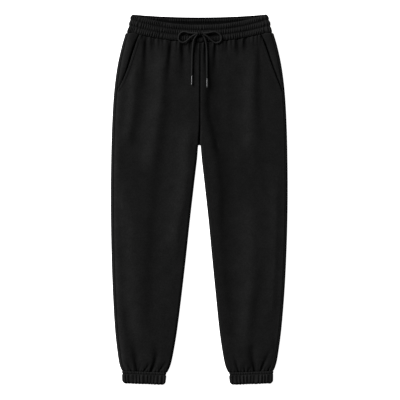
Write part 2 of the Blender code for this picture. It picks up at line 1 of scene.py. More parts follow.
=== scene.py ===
"""Jogger sweatpants laid flat, front up: the finished look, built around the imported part.

The frame is the part's: metres, +Z up, X across with the wearer's left at +X, Y up the legs to the waist, and
the back on z = 0. Sizes are in millimetres here and become metres when a mesh is written. A place on the
garment is x across and "down" below the waistband's top edge at the side folds. "row" is the same before the
curve of the waist and the tilt of the cuffs, "q" the distance from the centre line, and side is 1 for the
wearer's left.
"""

import bpy
import numpy as np
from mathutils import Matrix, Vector
from numpy import clip, cos, linspace, maximum, minimum, pi, sin


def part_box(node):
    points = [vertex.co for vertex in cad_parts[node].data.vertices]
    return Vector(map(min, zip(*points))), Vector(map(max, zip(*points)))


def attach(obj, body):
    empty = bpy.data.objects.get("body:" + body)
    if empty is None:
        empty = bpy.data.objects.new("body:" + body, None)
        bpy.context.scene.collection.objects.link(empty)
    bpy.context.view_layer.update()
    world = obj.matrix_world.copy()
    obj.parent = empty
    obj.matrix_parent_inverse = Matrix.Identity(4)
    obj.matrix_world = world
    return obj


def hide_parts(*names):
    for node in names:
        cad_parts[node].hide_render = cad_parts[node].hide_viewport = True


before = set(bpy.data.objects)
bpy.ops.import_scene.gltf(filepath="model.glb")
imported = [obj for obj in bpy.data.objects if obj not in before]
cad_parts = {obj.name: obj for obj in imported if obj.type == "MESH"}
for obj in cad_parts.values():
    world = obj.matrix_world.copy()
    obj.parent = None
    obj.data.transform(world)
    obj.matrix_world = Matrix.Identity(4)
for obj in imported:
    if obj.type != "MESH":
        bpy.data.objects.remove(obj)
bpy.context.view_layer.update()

MM = 0.001
TURN = 2 * pi
WORD = {1: "left", -1: "right"}

# ---------------------------------------------------------------- driving dimensions, as in the part
LENGTH, FABRIC, SEAM_GAP, WAIST_GAP = 999.6, 2.0, 0.3, 0.4
NAP = 0.9  # how far the cloth's nap stands past the part's sides

BAND_WALL, BAND_LOFT = 2.4, 17.0  # the wall is thinner than the part's, so that the gathered ends fit in
CHANNEL_PUFF, FOOT_PUFF = 2.7, 0.2  # how full the channels are, and the lowest one still at the seam
BAND_FULLNESS, BAND_GATHER_DEPTH = 1.2, 2.5
BAND_RISE = 2.3  # how far its top stands above the part's

WAIST_SEAM = 48.5
FRONT_TOP_DROP, FRONT_DROP, BACK_DROP = 28.8, 24.1, 7.9  # how low the waist hangs in the middle
DROP_REACH, DROP_POWER, DROP_END = 181.0, 2.1, 290.0

CROTCH, CROTCH_TURN, THIGH = 352.0, 6.0, 60.0
FORK_START, FORK_WIDTH, FORK_CLEARANCE = 262.0, 3.6, 2.7
INSEAM_CALM, SEAM_DITCH = (-8.0, 14.0), 0.8

SIDE_SEAM = {-1: 7.3, 1: 6.5}  # how far in from the side fold
LEAST_ROLL = 1.0

POCKET_TOP_ACROSS, POCKET_BOTTOM = {-1: 162.9, 1: 165.6}, 206.0
POCKET_BOW = {-1: 9.5, 1: 3.4}
FACING_OVERLAP, FACING_SLOPE, FACING_RISE = 12.0, 0.15, (2.0, 8.0)
CALM_START, CALM_END = 8.0, 26.0  # where folds begin beside the front panel's outer edge

CUFF_SEAM, CUFF_HEIGHT, CUFF_CENTRE = 963.5, 33.6, 145.2
CUFF_WALL, CUFF_LOFT = 2.4, 13.5
CUFF_PUFF, CUFF_GATHER_DEPTH, CUFF_FULLNESS = 0.6, 2.4, 2.0
CUFF_TILT, TILT_START = 0.035, 700.0

CORD_DIAMETER, CORD_LIFT = 4.5, 0.4
BRAID_LAY, BRAID_CORE, BRAID_RISE = 3.2, 0.93, 0.09  # a strand's turn, core and rise, in radii
AGLET_LENGTH = 25.6
PINCH, PINCH_LENGTH = 0.2, 4.0  # how much the aglets squeeze the cord in, and over what length
CRIMP_AT, CRIMP_WIDTH, CRIMP_DEPTH = 1.5, 0.5, 0.06  # the aglet's two dents: how far from its mouth, and size
DRAPE_REACH = 16.0  # how far below the waist seam a strand comes down onto the front

# ---------------------------------------------------------------- tables, as in the part
LEG_COLUMNS = ("down", "centre", "outer", "inner", "loft", "crown")
LEG = [
    (48.5, 0.8, 198.9, 0.0, 13.6, 0.6), (83, 0.8, 209.1, 0.0, 12.0, 1.0),
    (132, 0.6, 220.1, 0.0, 10.2, 1.0), (181, 0.5, 227.3, 0.0, 9.2, 0.6),
    (229, 0.4, 231.8, 0.0, 8.6, 0.2), (294, 0.3, 235.3, 0.0, 8.3, -0.2),
    (359, 0.2, 237.3, 4.2, 8.2, -0.4), (461, 0.0, 238.6, 15.7, 8.2, -0.6),
    (559, -0.3, 238.0, 26.7, 8.2, -0.6), (656, -0.9, 235.6, 36.5, 8.2, -0.6),
    (753, -1.7, 231.3, 46.9, 8.4, -0.2), (850, -2.9, 224.4, 58.4, 9.4, 1.0),
    (905, -3.5, 217.9, 67.0, 10.8, 2.6), (937, -3.9, 213.0, 73.4, 11.8, 2.6),
    (952, -4.2, 209.0, 78.2, 12.4, 1.6), (963.5, -4.3, 204.2, 84.0, 12.8, 0.6),
]

# A trough of the front runs from (x, down) to (x, down), followed by its depth, its width and, where it isn't
# straight, how far it swings out sideways midway. It is deepest where its group says.
FOLDS = {
    "top": [  # gathers below the waistband, from the wearer's right to the left
        (-145.0, 58, -152.5, 245, 5.0, 8.0, 2.5), (-122.5, 60, -123.9, 112, 3.5, 5.0),
        (-100.5, 62, -102.5, 92, 2.2, 5.0), (-75.2, 64, -87.5, 220, 5.2, 7.2),
        (-43.6, 66, -41.5, 205, 6.5, 8.6),
        (-22.5, 67, -20.1, 135, 3.0, 4.5), (-8.0, 68, -8.0, 112, 2.0, 4.5), (15.2, 68, 19.0, 190, 4.8, 3.6),
        (26.0, 68, 24.5, 108, 2.8, 4.5), (43.5, 67, 38.5, 200, 4.6, 6.5, 2.0),
        (74.4, 65, 75.8, 116, 3.9, 5.6),
        (104.0, 63, 108.0, 130, 4.4, 5.8), (126.5, 61, 127.5, 115, 5.0, 7.5),
        (163.5, 55, 172.0, 282, 1.3, 8.0, -2.5),
    ],
    "middle": [  # soft folds down the legs
        (-184.0, 440, -190.0, 590, 1.3, 14.0), (169.0, 350, 185.0, 520, 1.3, 13.0),
        (162.0, 700, 138.0, 905, 0.9, 12.0),
    ],
    "foot": [  # gathers above the cuffs
        (-201.0, 925, -184.5, 963, 2.8, 4.5), (-182.0, 868, -168.5, 963, 4.6, 7.2, 1.5),
        (-158.5, 932, -162.6, 963, 3.4, 4.0), (-134.0, 932, -149.0, 963, 3.0, 4.0, 4.0),
        (-127.5, 868, -129.0, 963, 5.4, 7.5, 12.0), (-83.0, 930, -107.0, 963, 3.2, 4.5),
        (91.0, 905, 105.6, 963, 3.2, 5.0), (121.0, 938, 123.0, 963, 2.2, 4.5),
        (138.5, 948, 134.0, 963, 2.2, 3.4), (140.5, 880, 151.5, 963, 4.6, 6.8, -1.5),
        (197.0, 895, 166.5, 963, 3.8, 5.0), (206.0, 934, 187.5, 963, 3.2, 4.5),
    ],
}
SEWN_WIDTH, SEWN_DEPTH = 0.42, 1.1  # a sewn-in fold at its seam against the table's width and depth
# How much of a trough is a wide hollow, and how the cloth stands up beside it.
HOLLOW_SHARE, SHOULDER = 0.35, 0.12

# ---------------------------------------------------------------- the softer forms, which only the looks have
# The front's soft ridges and dips: the height, how far it reaches towards the wearer's right and left, and
# then its crest from top to foot as (x, down). They fade at both ends.
RIDGES = [
    # wearer's right leg
    (4.6, 24, 24, (-103, 70), (-104, 176), (-110, 244), (-120, 311), (-130, 379), (-138, 445)),
    (4.2, 22, 28, (-204, 430), (-199, 500), (-190, 570), (-183, 637), (-178, 740), (-169, 830), (-160, 925)),
    (4.3, 28, 16, (-30, 270), (-33, 365), (-44, 487), (-61, 568), (-66, 620), (-70, 680)),
    (3.6, 16, 14, (-176, 120), (-178, 189), (-182, 245), (-190, 300), (-196, 365)),
    (-1.3, 12, 14, (-143, 130), (-147, 200), (-155, 262), (-168, 320), (-177, 375)),
    (-2.2, 17, 19, (-78, 60), (-82, 210), (-83, 257), (-91, 308), (-103, 376), (-115, 487), (-123, 598),
     (-131, 736), (-131, 790), (-124, 874), (-119, 950)),
    (-1.7, 11, 15, (-200, 780), (-193, 846), (-180, 900), (-169, 960)),
    # wearer's left leg
    (-4.4, 15, 30, (37, 80), (38, 119), (36, 170), (31, 235), (33, 268), (47, 330), (62, 409), (70, 474),
     (68, 558), (75, 640)),
    (-1.8, 12, 18, (36, 160), (31, 235), (33, 268), (47, 330), (60, 400)),
    (-1.0, 16, 16, (88, 150), (91, 240), (88, 330), (84, 380)),
    (-2.4, 14, 26, (68, 540), (75, 669), (79, 709), (90, 820), (105, 940)),
    (4.0, 20, 21, (145, 90), (144, 162), (140, 230), (136, 268), (138, 319), (146, 400)),
    (-1.6, 11, 14, (163, 70), (163, 130), (162, 200), (166, 260), (174, 330), (180, 380)),
    (4.2, 26, 25, (135, 480), (139, 560), (141, 636), (139, 726), (134, 772), (127, 853), (124, 930)),
    (-1.1, 16, 18, (172, 660), (170, 730), (160, 790), (149, 850), (143, 930)),
    (-2.0, 11, 12, (148, 885), (141, 915), (142, 945), (146, 985)),
    (2.4, 22, 20, (208, 420), (208, 560), (204, 700), (196, 840)),
]
RIDGE_FADE = 0.2  # the share of its length over which a ridge fades at each end

# Creases pressed into the back, on the floor: below the waistband, behind the knees and above the cuffs.
BACK_FOLDS = {
    "top": [
        (-168.0, 57, -174.0, 150, 1.5, 6.0), (-131.0, 57, -127.0, 118, 1.2, 5.0),
        (-96.0, 57, -103.0, 172, 1.6, 6.5),
        (-58.0, 57, -55.0, 110, 1.1, 5.0), (-24.0, 57, -30.0, 190, 1.5, 6.0), (19.0, 57, 24.0, 128, 1.2, 5.0),
        (52.0, 57, 59.0, 205, 1.6, 6.5), (88.0, 57, 86.0, 104, 1.1, 5.0), (121.0, 57, 130.0, 160, 1.5, 6.0),
        (163.0, 57, 160.0, 122, 1.3, 5.5),
    ],
    "middle": [
        (-150.0, 330, -60.0, 420, 1.2, 12.0), (148.0, 318, 54.0, 432, 1.2, 12.0),
        (-205.0, 600, -110.0, 652, 1.1, 9.0), (-200.0, 662, -96.0, 640, 1.0, 8.0),
        (204.0, 612, 104.0, 668, 1.1, 9.0), (198.0, 690, 92.0, 655, 1.0, 8.0),
    ],
    "foot": [
        (-190.0, 900, -178.0, 963, 1.4, 5.5), (-146.0, 915, -152.0, 963, 1.2, 5.0),
        (-118.0, 890, -124.0, 963, 1.5, 5.5), (112.0, 905, 119.0, 963, 1.4, 5.5),
        (150.0, 893, 146.0, 963, 1.5, 5.5), (186.0, 912, 172.0, 963, 1.2, 5.0),
    ],
}

# The waistband and the cuffs as flattened rings: the share of their height from the top, and the half width.
BAND_OUTER = [(0.0, 184.0), (0.15, 186.6), (0.3, 188.6), (0.45, 190.6), (0.64, 192.4), (0.8, 194.4),
              (1.0, 197.6)]
CUFF_OUTER = [(0.0, 58.8), (0.17, 58.4), (0.53, 57.8), (0.86, 56.1), (1.0, 50.8)]

# The drawstring as lead, loop and tail: x across, down the garment, and lift of the strand above the cloth.
STRANDS = {
    -1: (
        [(-26.6, 48.7, -1.9), (-22.0, 48.8, -1.7), (-17.0, 49.2, -1.7), (-9.0, 49.6, -1.4)],
        [(-8.4, 50.4, 3.0), (-17.0, 50.4, 3.0), (-27.5, 49.4, 3.0), (-38.0, 46.0, 1.0), (-47.5, 47.6, -0.4),
         (-54.8, 55.2, -0.7), (-56.2, 65.2, -0.8), (-51.5, 72.4, -0.8), (-43.0, 74.8, -0.7),
         (-34.2, 71.0, -0.3),
         (-23.5, 61.3, 1.2), (-13.2, 54.8, 2.8), (-8.2, 52.6, 3.2)],
        [(-6.2, 55.0, 2.6), (-10.0, 60.0, 1.2), (-15.0, 69.6, 0.2), (-17.0, 84.0, 0.0), (-18.7, 104.0, 0.0),
         (-19.3, 124.0, 0.0), (-19.8, 144.0, 0.0), (-20.2, 164.0, 0.0)],
    ),
    1: (
        [(28.0, 48.7, -1.9), (23.5, 48.8, -1.7), (18.5, 49.2, -1.7), (10.0, 49.6, -1.4)],
        [(10.4, 50.6, 3.0), (19.0, 50.3, 3.0), (30.0, 48.4, 2.8), (41.0, 46.6, 1.0), (52.0, 50.2, -0.4),
         (59.2, 58.6, -0.8), (58.8, 68.4, -0.8), (53.0, 74.6, -0.7), (45.4, 76.0, -0.5), (37.4, 72.4, -0.2),
         (26.3, 62.6, 1.2), (15.6, 55.2, 2.8), (10.2, 52.6, 3.2)],
        [(8.0, 55.0, 2.6), (12.9, 60.4, 1.2), (16.9, 69.6, 0.2), (19.5, 84.0, 0.0), (20.8, 104.0, 0.0),
         (21.1, 124.0, 0.0), (21.2, 148.0, 0.0), (21.2, 171.0, 0.0)],
    ),
}
# How a half of the cord turns round inside the knot, x away from its middle: from lead to loop, then to tail.
KNOT_TURNS = [
    [(4.6, 50.2, -1.4), (2.5, 50.4, 0.8), (4.6, 50.4, 3.0)],
    [(2.8, 51.2, 2.9), (0.6, 53.0, 2.4), (2.8, 54.9, 2.2)],
]
KNOT_CENTRE = (1.2, 51.5)
# How a lead slants up through its eyelet: how far out from the hole, how far under the waistband's top.
CORD_INSIDE = [(5.6, 4.3), (2.7, 2.9), (-0.6, 0.9)]
# The knot's three wraps: how far from its middle, how each leans, and half its width and height.
KNOT_WRAPS = [(-5.0, -0.9, 2.3, 2.9), (0.0, 0.4, 2.6, 3.5), (5.0, 1.1, 2.2, 2.8)]
AGLET_PROFILE = [  # distance from the mouth and radius
    (0.0, 1.85), (0.25, 1.95), (0.7, 1.95), (1.0, 1.75), (1.5, 1.6), (2.1, 1.66), (12.0, 1.66), (22.6, 1.64),
    (24.2, 1.58), (25.0, 1.45), (25.45, 1.0), (25.6, 0.55),
]

# ---------------------------------------------------------------- sewing and gathers
CLOTH_THICKNESS = 1.8
LEAST_WALL = 0.9  # where the sewing presses it together
LIP_TURN, WELT_RISE = 1.5, 0.8  # the rolled pocket edge: how far it turns down, how much thicker its hem is
TOPSTITCH_IN = (3.1, 7.0)  # two lines from the pocket edge
STITCH_SINK = 0.8  # how deep a line of stitches pulls the cloth in
FACING_ROLL = 2.0  # how full the hip piece stands between its seam and the pocket's mouth
POCKET_GAPE = {-1: 5.8, 1: 8.0}  # how far the pockets stand open
POCKET_HOLLOW, HOLLOW_FLOOR = 6.5, 4.3  # how deep, and to what height
CLOSING = {-1: (0.4, 0.98), 1: (0.75, 1.05)}  # the shares of a pocket's mouth between which it closes
EDGE_DROOP, DROOP_REACH = 2.4, 7.0  # how far the cloth falls off beside the inseams
SEAM_TURN = 0.9  # how far a seamed edge turns down
# How the upper cloth falls off towards each outer side: depth, and from where to where, in from the side.
SIDE_FALLS = {-1: ((1.6, 6.0, 26.0), (1.2, 6.5, 15.0), (1.0, 0.8, 5.5)), 1: ((1.7, 0.6, 4.0),)}
SIDE_FULLNESS = {-1: 0.6, 1: 0.0}  # how much fuller the visual model's sides are
FOLD_PAINTED_LIGHTING, TOP_PAINTED_LIGHT = {-1: 1.0, 1: -0.7}, 1.0  # painted light on the side fold that faces the lamp and painted shade on the other, and painted light on the left one's top, where the waistband's shadow falls
SIDE_PAINTED_LIGHT, SIDE_PAINTED_LIGHT_IN = 1.2, (6.0, 26.0)  # painted highlight on the right side, which faces the lamp, and how far in it ends
MOUTH_PAINTED_LIGHT_IN = (1.5, 4.0)  # how far in the same painted highlight ends at the right pocket's edge
SEAM_SHADE = 2.0  # painted shade in the right side seam
SEAM_STEP = 1.3  # how far the strip beyond the right side seam lies below the front
SIDE_TURN, SIDE_SWELL = 0.35, 0.35  # how the left side seam turns down and swells beside it
CENTRE_SWELL, CENTRE_DITCH = 0.4, 3.0  # how the front swells beside its centre seam, and the seam's depth
CENTRE_THREAD, CENTRE_SINK = 1.3, 1.2
CENTRE_SHIFT = 1.8  # how far the centre seam lies to the left
SEAM_PUFF = 2.2  # how far the gathered cloth stands out below the waistband
PUCKER_SPAN = 500  # the front's width over which the small gathers are shared out
WAIST_PUCKER = (3.0, 15.0, 11.5)  # small gathers below the waist seam: depth, reach and spacing
CUFF_PUCKER = (1.6, 10.0, 9.0)
BACK_PUCKER = 0.6  # how deep they are on the back, against the front
PAINTED_SHADING_HEIGHT = 4.5  # a crest this high gets the strongest painted highlight, a hollow this deep the strongest painted shade
RIPPLE = 0.22  # height of the cloth's own unevenness

BAND_RIPPLES = 144  # gathers all round the waistband
BAND_LINE_SIDE, BAND_LINE_FRONT = (0.3, 0.64), (0.32, 0.64)  # the stitched lines at the sides and in front
BAND_RIM, RIM_ROLL = 1.6, 1.4  # its rolled top edge, and how far that rolls down
RIM_PAINTED_LIGHT = 1.6  # painted highlight on its rim, and the painted light on its two ends below: how light, and from where to where across
BAND_ENDS_PAINTED_LIGHT = {-1: (0.9, 150.0, 186.0), 1: (0.4, 120.0, 180.0)}
LIT_INSIDE = 0.22  # the share of the back half whose inside catches light below its top
BUMP_AT, BUMP_SIZE, BUMP_RISE = (2.4, 65.5), (6.5, 6.0), 0.3  # the puff below the knot
CORD_PRESS = 2.1  # how deep the drawstring lies in the waistband's gathers
CENTRE_DIP = 2.6  # how far it pushes the waist seam down

BAND_BASE = CHANNEL_PUFF + BAND_GATHER_DEPTH / 2  # how far the relief's foot lies inside the ring's outline

CUFF_RIBS, CUFF_RIM, CUFF_LINE = 26, 1.8, 0.2
CUFF_ROLL = 4.6  # how far a cuff rolls down at its foot
CUFF_SHADE = 2.2  # painted shade on a cuff's left end, the side away from the lamp
CUFF_BASE = CUFF_PUFF + CUFF_GATHER_DEPTH / 2

STITCH_LENGTH, STITCH_PITCH, THREAD = 2.7, 3.5, 0.55
TACK_LENGTH, TACK_WIDTH, TACK_TURNS = 9.0, 2.4, 22
TACK_UP, TACK_IN = 4.0, 3.4  # its middle, up from the pocket's foot and in from its edge
EYELET_AT = {-1: (-30.4, 48.8), 1: (31.9, 48.8)}
EYELET_HOLE, EYELET_RING, EYELET_BELOW = 2.6, 1.0, 0.9
EYELET_WINDINGS = 15  # pairs of satin stitches round it

TUCK_DEEP, TUCK_START = 3.6, 1.4  # how far the panels' ends go into the bands, and where they leave
WAIST_TUCK = (6.7, 0.25, 0.95)  # an end inside its band: lift, shares of the height and the width kept
CUFF_TUCK = (4.3, 0.39, 0.93)
# The allowances pressed open inside the centre seam: how wide on each side, how far below the cloth.
ALLOWANCE, ALLOWANCE_BELOW = 7.0, 0.9

# ---------------------------------------------------------------- how finely the pieces are made
FRONT_ROWS, FRONT_COLUMNS = 372, 106
BACK_ROWS, BACK_COLUMNS = 300, 100
FACING_ROWS, FACING_COLUMNS, FACING_END = 84, 26, 214.0  # the last is how far down a hip piece goes
BAND_COLUMNS, BAND_ROWS = 960, (34, 18)  # round the ring, and down its outer and inner face
CUFF_COLUMNS, CUFF_ROWS = 330, (28, 12)
BAND_STITCHES, CUFF_STITCHES = 3000, 1200  # points of the lines that the stitches follow
CORD_STEP, CORD_SIDES, CORD_STRANDS, WRAP_POINTS = 0.75, 20, 8, 40
AGLET_SIDES, EYELET_POINTS, EYELET_SIDES = 28, 120, 10

# ---------------------------------------------------------------- finishes and studio
PAINTED_CONTRAST = 0.3  # strength of the painted light and shade: how much lighter a crest is painted than the flat cloth, and a hollow darker
FLOOR_SIZE, FLOOR_BELOW, FLOOR_GLOW = 12, 0.0005, 0.95
FRAME_WIDTH = 1.08344  # metres that the picture shows across
CAMERA_HEIGHT, CAMERA_AT, SENSOR = 4.0, (0.0019, -0.0008), 36.0
PRINT_GAMMA = 0.78  # the contrast of the print
KEY_AT, KEY_SIZE, KEY_POWER = (-6.6, 4.8, 5.6), 5.2, 1820  # the softbox: place and width in metres, and watts
AIR_LIGHT = 0.13


# ---------------------------------------------------------------- small helpers
def smooth_step(start, end, value):
    """0 before start, 1 after end, and smooth between."""
    share = clip((value - start) / (end - start), 0.0, 1.0)
    return share * share * (3 - 2 * share)


def bell(away, width):
    return np.exp(-((away / width) ** 2))


def unit(vectors):
    return vectors / np.linalg.norm(vectors, axis=-1, keepdims=True)


def passed_along(line):
    """The length from a line's start to each of its points."""
    return np.concatenate([[0.0], np.cumsum(np.linalg.norm(np.diff(line, axis=0), axis=1))])


def swept(share, start, leave, end, arrive):
    """A smooth curve's value at a share of its way, from its ends and how it leaves and arrives there."""
    square, cube = share**2, share**3
    first, last = 2 * cube - 3 * square + 1, 3 * square - 2 * cube
    return first * start + (cube - 2 * square + share) * leave + last * end + (cube - square) * arrive


def curve(places, values, at):
    """The values at other places, on a smooth curve through the given ones."""
    places, values = np.asarray(places, float), np.asarray(values, float)
    last = len(places) - 1
    index = np.arange(last + 1)
    before, after = maximum(index - 1, 0), minimum(index + 1, last)
    slopes = (values[after] - values[before]) / (places[after] - places[before])
    i = clip(np.searchsorted(places, at, side="right") - 1, 0, last - 1)
    span = places[i + 1] - places[i]
    share = clip((at - places[i]) / span, 0.0, 1.0)
    return swept(share, values[i], span * slopes[i], values[i + 1], span * slopes[i + 1])


def leg(column, down):
    table = np.array(LEG).T
    value = curve(table[0], table[LEG_COLUMNS.index(column)], np.asarray(down, float))
    if column == "outer":
        value = value + NAP
    if column == "inner":
        value = value - NAP * smooth_step(CROTCH, CROTCH + 40, down)
    return value


def crowded(start, end, count, places, reach, extra):
    """count + 1 positions from start to end, closer together within reach of each place."""
    fine = linspace(start, end, 1200)
    density = 1 + extra * sum(bell(fine - at, reach) for at in places)
    passed = np.concatenate([[0.0], np.cumsum((density[1:] + density[:-1]) / 2)])
    return np.interp(linspace(0.0, passed[-1], count + 1), passed, fine)


def in_metres(x, down, z):
    """Places of the garment in millimetres as points of the row frame in metres, on a last axis of three."""
    x, down, z = np.broadcast_arrays(x, down, z)
    return np.stack([x, LENGTH / 2 - down, z], axis=-1) * MM


# ---------------------------------------------------------------- the form of the laid garment
def waist_drop(x, row, drop):
    across = minimum(np.abs(x) / DROP_REACH, 1.0)
    return drop * (1 - across**DROP_POWER) * (1 - smooth_step(WAIST_SEAM, DROP_END, row))


def centre_dip(x, row):
    """How far the puff below the knot pushes the waist seam down."""
    near_seam = 1 - smooth_step(WAIST_SEAM, WAIST_SEAM + 26, row)
    return CENTRE_DIP * bell(x - BUMP_AT[0], BUMP_SIZE[0]) * near_seam


def place(side, row, q, drop=FRONT_DROP):
    shift = CENTRE_SHIFT * bell(q, 40) * (1 - smooth_step(CROTCH - 60, CROTCH, row))
    x = leg("centre", row) + side * q + shift
    tilt = CUFF_TILT * (leg("outer", row) - q) * smooth_step(TILT_START, CUFF_SEAM, row)
    return x, row + waist_drop(x, row, drop) + tilt


def side_seam(side, row):
    return leg("outer", row) - maximum(SIDE_SEAM[side], leg("loft", row) / 2 + LEAST_ROLL)


def pocket_share(row):
    return clip((row - WAIST_SEAM) / (POCKET_BOTTOM - WAIST_SEAM), 0.0, 1.0)


def pocket_edge(side, row):
    """The front panel's outer edge: the slanted pocket opening, and below it the side seam."""
    share, top = pocket_share(row), POCKET_TOP_ACROSS[side]
    hollow = POCKET_BOW[side] * sin(pi * share) * share
    slanted = top + (side_seam(side, POCKET_BOTTOM) - top) * share - hollow
    return np.where(row >= POCKET_BOTTOM, side_seam(side, row), slanted)


def inseam(row):
    return np.where(row > CROTCH, leg("inner", row), 0.02)


def turned(row):
    """0 where the inner edge is the flat centre seam, 1 where it turns to the inseam."""
    return smooth_step(CROTCH - CROTCH_TURN, CROTCH + CROTCH_TURN, row)


def from_seams(row):
    """How far below the waist seam and how far above the cuff seam a row is."""
    return maximum(row - WAIST_SEAM, 0.0), maximum(CUFF_SEAM - row, 0.0)


def tucked(side, row, x, z):
    """The ends of the legs go up inside the waistband and down inside the cuffs, where they are sewn."""
    middle = leg("centre", CUFF_SEAM) + side * CUFF_CENTRE
    at_waist = 1 - smooth_step(WAIST_SEAM - TUCK_DEEP, WAIST_SEAM + TUCK_START, row)
    at_cuff = smooth_step(CUFF_SEAM - TUCK_START, CUFF_SEAM + TUCK_DEEP, row)
    for share, centre, (lift, height, width) in ((at_waist, 0.0, WAIST_TUCK), (at_cuff, middle, CUFF_TUCK)):
        x = x + share * (width - 1) * (x - centre)
        z = z + share * (lift + (height - 1) * z)
    return x, z


def fold_relief(folds, x, down):
    """The height that the folds add to the cloth. A fold is sharp where it is sewn in and opens away from
    there, and the cloth beside a trough stands up a little."""
    relief = np.zeros(np.broadcast(x, down).shape)
    for deepest, group in folds.items():
        for x_top, top, x_end, end, depth, width, *swing in group:
            share = (down - top) / (end - top)
            path = x_top + (x_end - x_top) * share + sum(swing) * 4 * share * (1 - share)
            if deepest == "middle":
                strength = smooth_step(0.0, 0.5, share) * (1 - smooth_step(0.5, 1.0, share))
            else:
                opened = clip(share if deepest == "top" else 1 - share, 0.0, 1.0)
                strength = 1 - smooth_step(0.0, 1.0, opened)
                width, depth = width * (SEWN_WIDTH + opened), depth * SEWN_DEPTH
            away = (x - path) / width
            trough = (1 - HOLLOW_SHARE) * bell(away, 1.0) + HOLLOW_SHARE * bell(away, 2.6)
            relief -= depth * strength * (trough - SHOULDER * bell(np.abs(away) - 2.2, 1.1))
    return relief


def front_relief(x, down):
    """The height that the front's folds and soft ridges add."""
    relief = fold_relief(FOLDS, x, down)
    for height, to_right, to_left, *line in RIDGES:
        line_x, line_down = np.array(line, float).T
        share = (down - line_down[0]) / (line_down[-1] - line_down[0])
        strength = smooth_step(0.0, RIDGE_FADE, share) * (1 - smooth_step(1 - RIDGE_FADE, 1.0, share))
        away = x - curve(line_down, line_x, down)
        relief += height * strength * bell(away, np.where(away < 0, to_right, to_left))
    return relief


def front_height(side, row, q):
    """Height of the front panel's outer face, before its inner edge turns down."""
    x, down = place(side, row, q)
    outer, inner, loft = leg("outer", row), inseam(row), leg("loft", row)
    share = clip((q - inner) / (outer - inner), 0.0, 1.0)
    forked = smooth_step(FORK_START, CROTCH + THIGH, row)
    crown = leg("crown", row) * ((1 - (q / outer) ** 2) * (1 - forked) + 4 * share * (1 - share) * forked)
    gathered = smooth_step(CUFF_SEAM - 110, CUFF_SEAM - 50, row)
    start, end = CALM_START * (1 - gathered), CALM_END * (1 - 0.65 * gathered)
    calm = smooth_step(start, end, pocket_edge(side, row) - q)
    calm = np.where(row > CROTCH - THIGH / 2, calm * smooth_step(*INSEAM_CALM, q - inner), calm)
    fork = (loft + crown - FABRIC - FORK_CLEARANCE) * smooth_step(FORK_START, CROTCH - CROTCH_TURN / 2, row)
    groove = maximum(SEAM_DITCH, fork * (1 - turned(row))) * bell(q, FORK_WIDTH)
    raised = (crown + front_relief(x, down)) * calm
    return loft + raised - groove * (1 - turned(row)) - side_fall(side, row, q)


def droop(away):
    """How the upper cloth falls off towards the inseam that it turns round."""
    return EDGE_DROOP * (1 - smooth_step(0.8, DROOP_REACH, away))


def side_fall(side, row, q):
    """How the upper cloth falls off towards the outer side."""
    away = leg("outer", row) - q
    total = sum(depth * (1 - smooth_step(start, end, away)) for depth, start, end in SIDE_FALLS[side])
    return total * smooth_step(WAIST_SEAM - 5, WAIST_SEAM + 40, row)


def turn_width(row):
    return (leg("loft", row) - SEAM_GAP) / 2 * pi / 2


def inner_turn(row, along):
    """How the cloth turns at the inseam, at a length from its edge: (distance from the edge, drop, angle)."""
    width = turn_width(row)
    angle = maximum(turned(row) * pi / 2, 1e-4)
    bend = width / angle
    now = angle * maximum(1 - along / width, 0.0)
    return bend * (sin(angle) - sin(now)) + maximum(along - width, 0.0), bend * (1 - cos(now)), now


def side_strip(side, row):
    """The width of the back's cloth on the front, between the side fold's roll and the side seam."""
    return leg("outer", row) - leg("loft", row) / 2 - side_seam(side, row)


def floor_length(row):
    """The length of a back panel's row from the side fold to its inner edge."""
    width = turn_width(row)
    return leg("outer", row) - leg("loft", row) / 2 - inseam(row) - inner_turn(row, width)[0] + width


# ---------------------------------------------------------------- gathers and unevenness
def uneven_phase(share, count, seed):
    """Turns of a wave of count ripples round a ring (share 0 to 1), wider here and narrower there."""
    draw = np.random.default_rng(seed)
    phase = count * share
    for times, size in ((5, 0.4), (9, 0.3), (14, 0.22), (23, 0.16), (37, 0.1)):
        phase = phase + size * count / 150 * sin(TURN * (times * share + draw.random()))
    return phase


def crest(phase):
    """Rounded ridges with narrower valleys, from 0 to 1."""
    return (0.5 + 0.5 * cos(TURN * phase)) ** 0.75


def pucker(x, spacing, seed):
    """The hollows between small gathers, from 0 to 1."""
    return 1 - crest(uneven_phase(x / PUCKER_SPAN + 0.5, PUCKER_SPAN / spacing, seed))


def fading(away, reach):
    """How much of a small gather is left at a distance from its seam."""
    return np.exp(-((away / reach) ** 1.4))


def ripples(x, down, seed):
    """The cloth's own soft unevenness, from about -1 to 1."""
    draw = np.random.default_rng(seed)
    total = 0.0
    for wave in (120.0, 95.0, 71.0, 52.0, 40.0):
        heading, start = draw.random(2) * TURN
        other, other_start = draw.random(2) * TURN
        along = (x * cos(heading) + down * sin(heading)) / wave * TURN + start
        across = (x * cos(other) + down * sin(other)) / (wave * 1.37) * TURN + other_start
        total = total + 0.4 * sin(along + 1.3 * sin(across))
    return total


# ---------------------------------------------------------------- making and finishing pieces
def only(made):
    """Makes an object the only selected and active one."""
    bpy.ops.object.select_all(action="DESELECT")
    made.select_set(True)
    bpy.context.view_layer.objects.active = made


def started(name, primitive, **settings):
    """A new object from one of Blender's own shapes, with nothing else selected."""
    bpy.ops.object.select_all(action="DESELECT")
    primitive(**settings)
    made = bpy.context.object
    made.name = made.data.name = name
    return made


def turn_outwards(made, merge=False):
    """Makes all faces look outwards, and before that joins points that lie on each other, if told to."""
    only(made)
    bpy.ops.object.mode_set(mode="EDIT")
    bpy.ops.mesh.select_all(action="SELECT")
    if merge:
        bpy.ops.mesh.remove_doubles(threshold=1e-6)
    bpy.ops.mesh.normals_make_consistent(inside=False)
    bpy.ops.object.mode_set(mode="OBJECT")


def coordinates(made):
    points = np.empty(len(made.data.vertices) * 3)
    made.data.vertices.foreach_get("co", points)
    return points.reshape(-1, 3)


def set_coordinates(made, points):
    made.data.vertices.foreach_set("co", np.ascontiguousarray(points, np.float64).ravel())
    made.data.update()


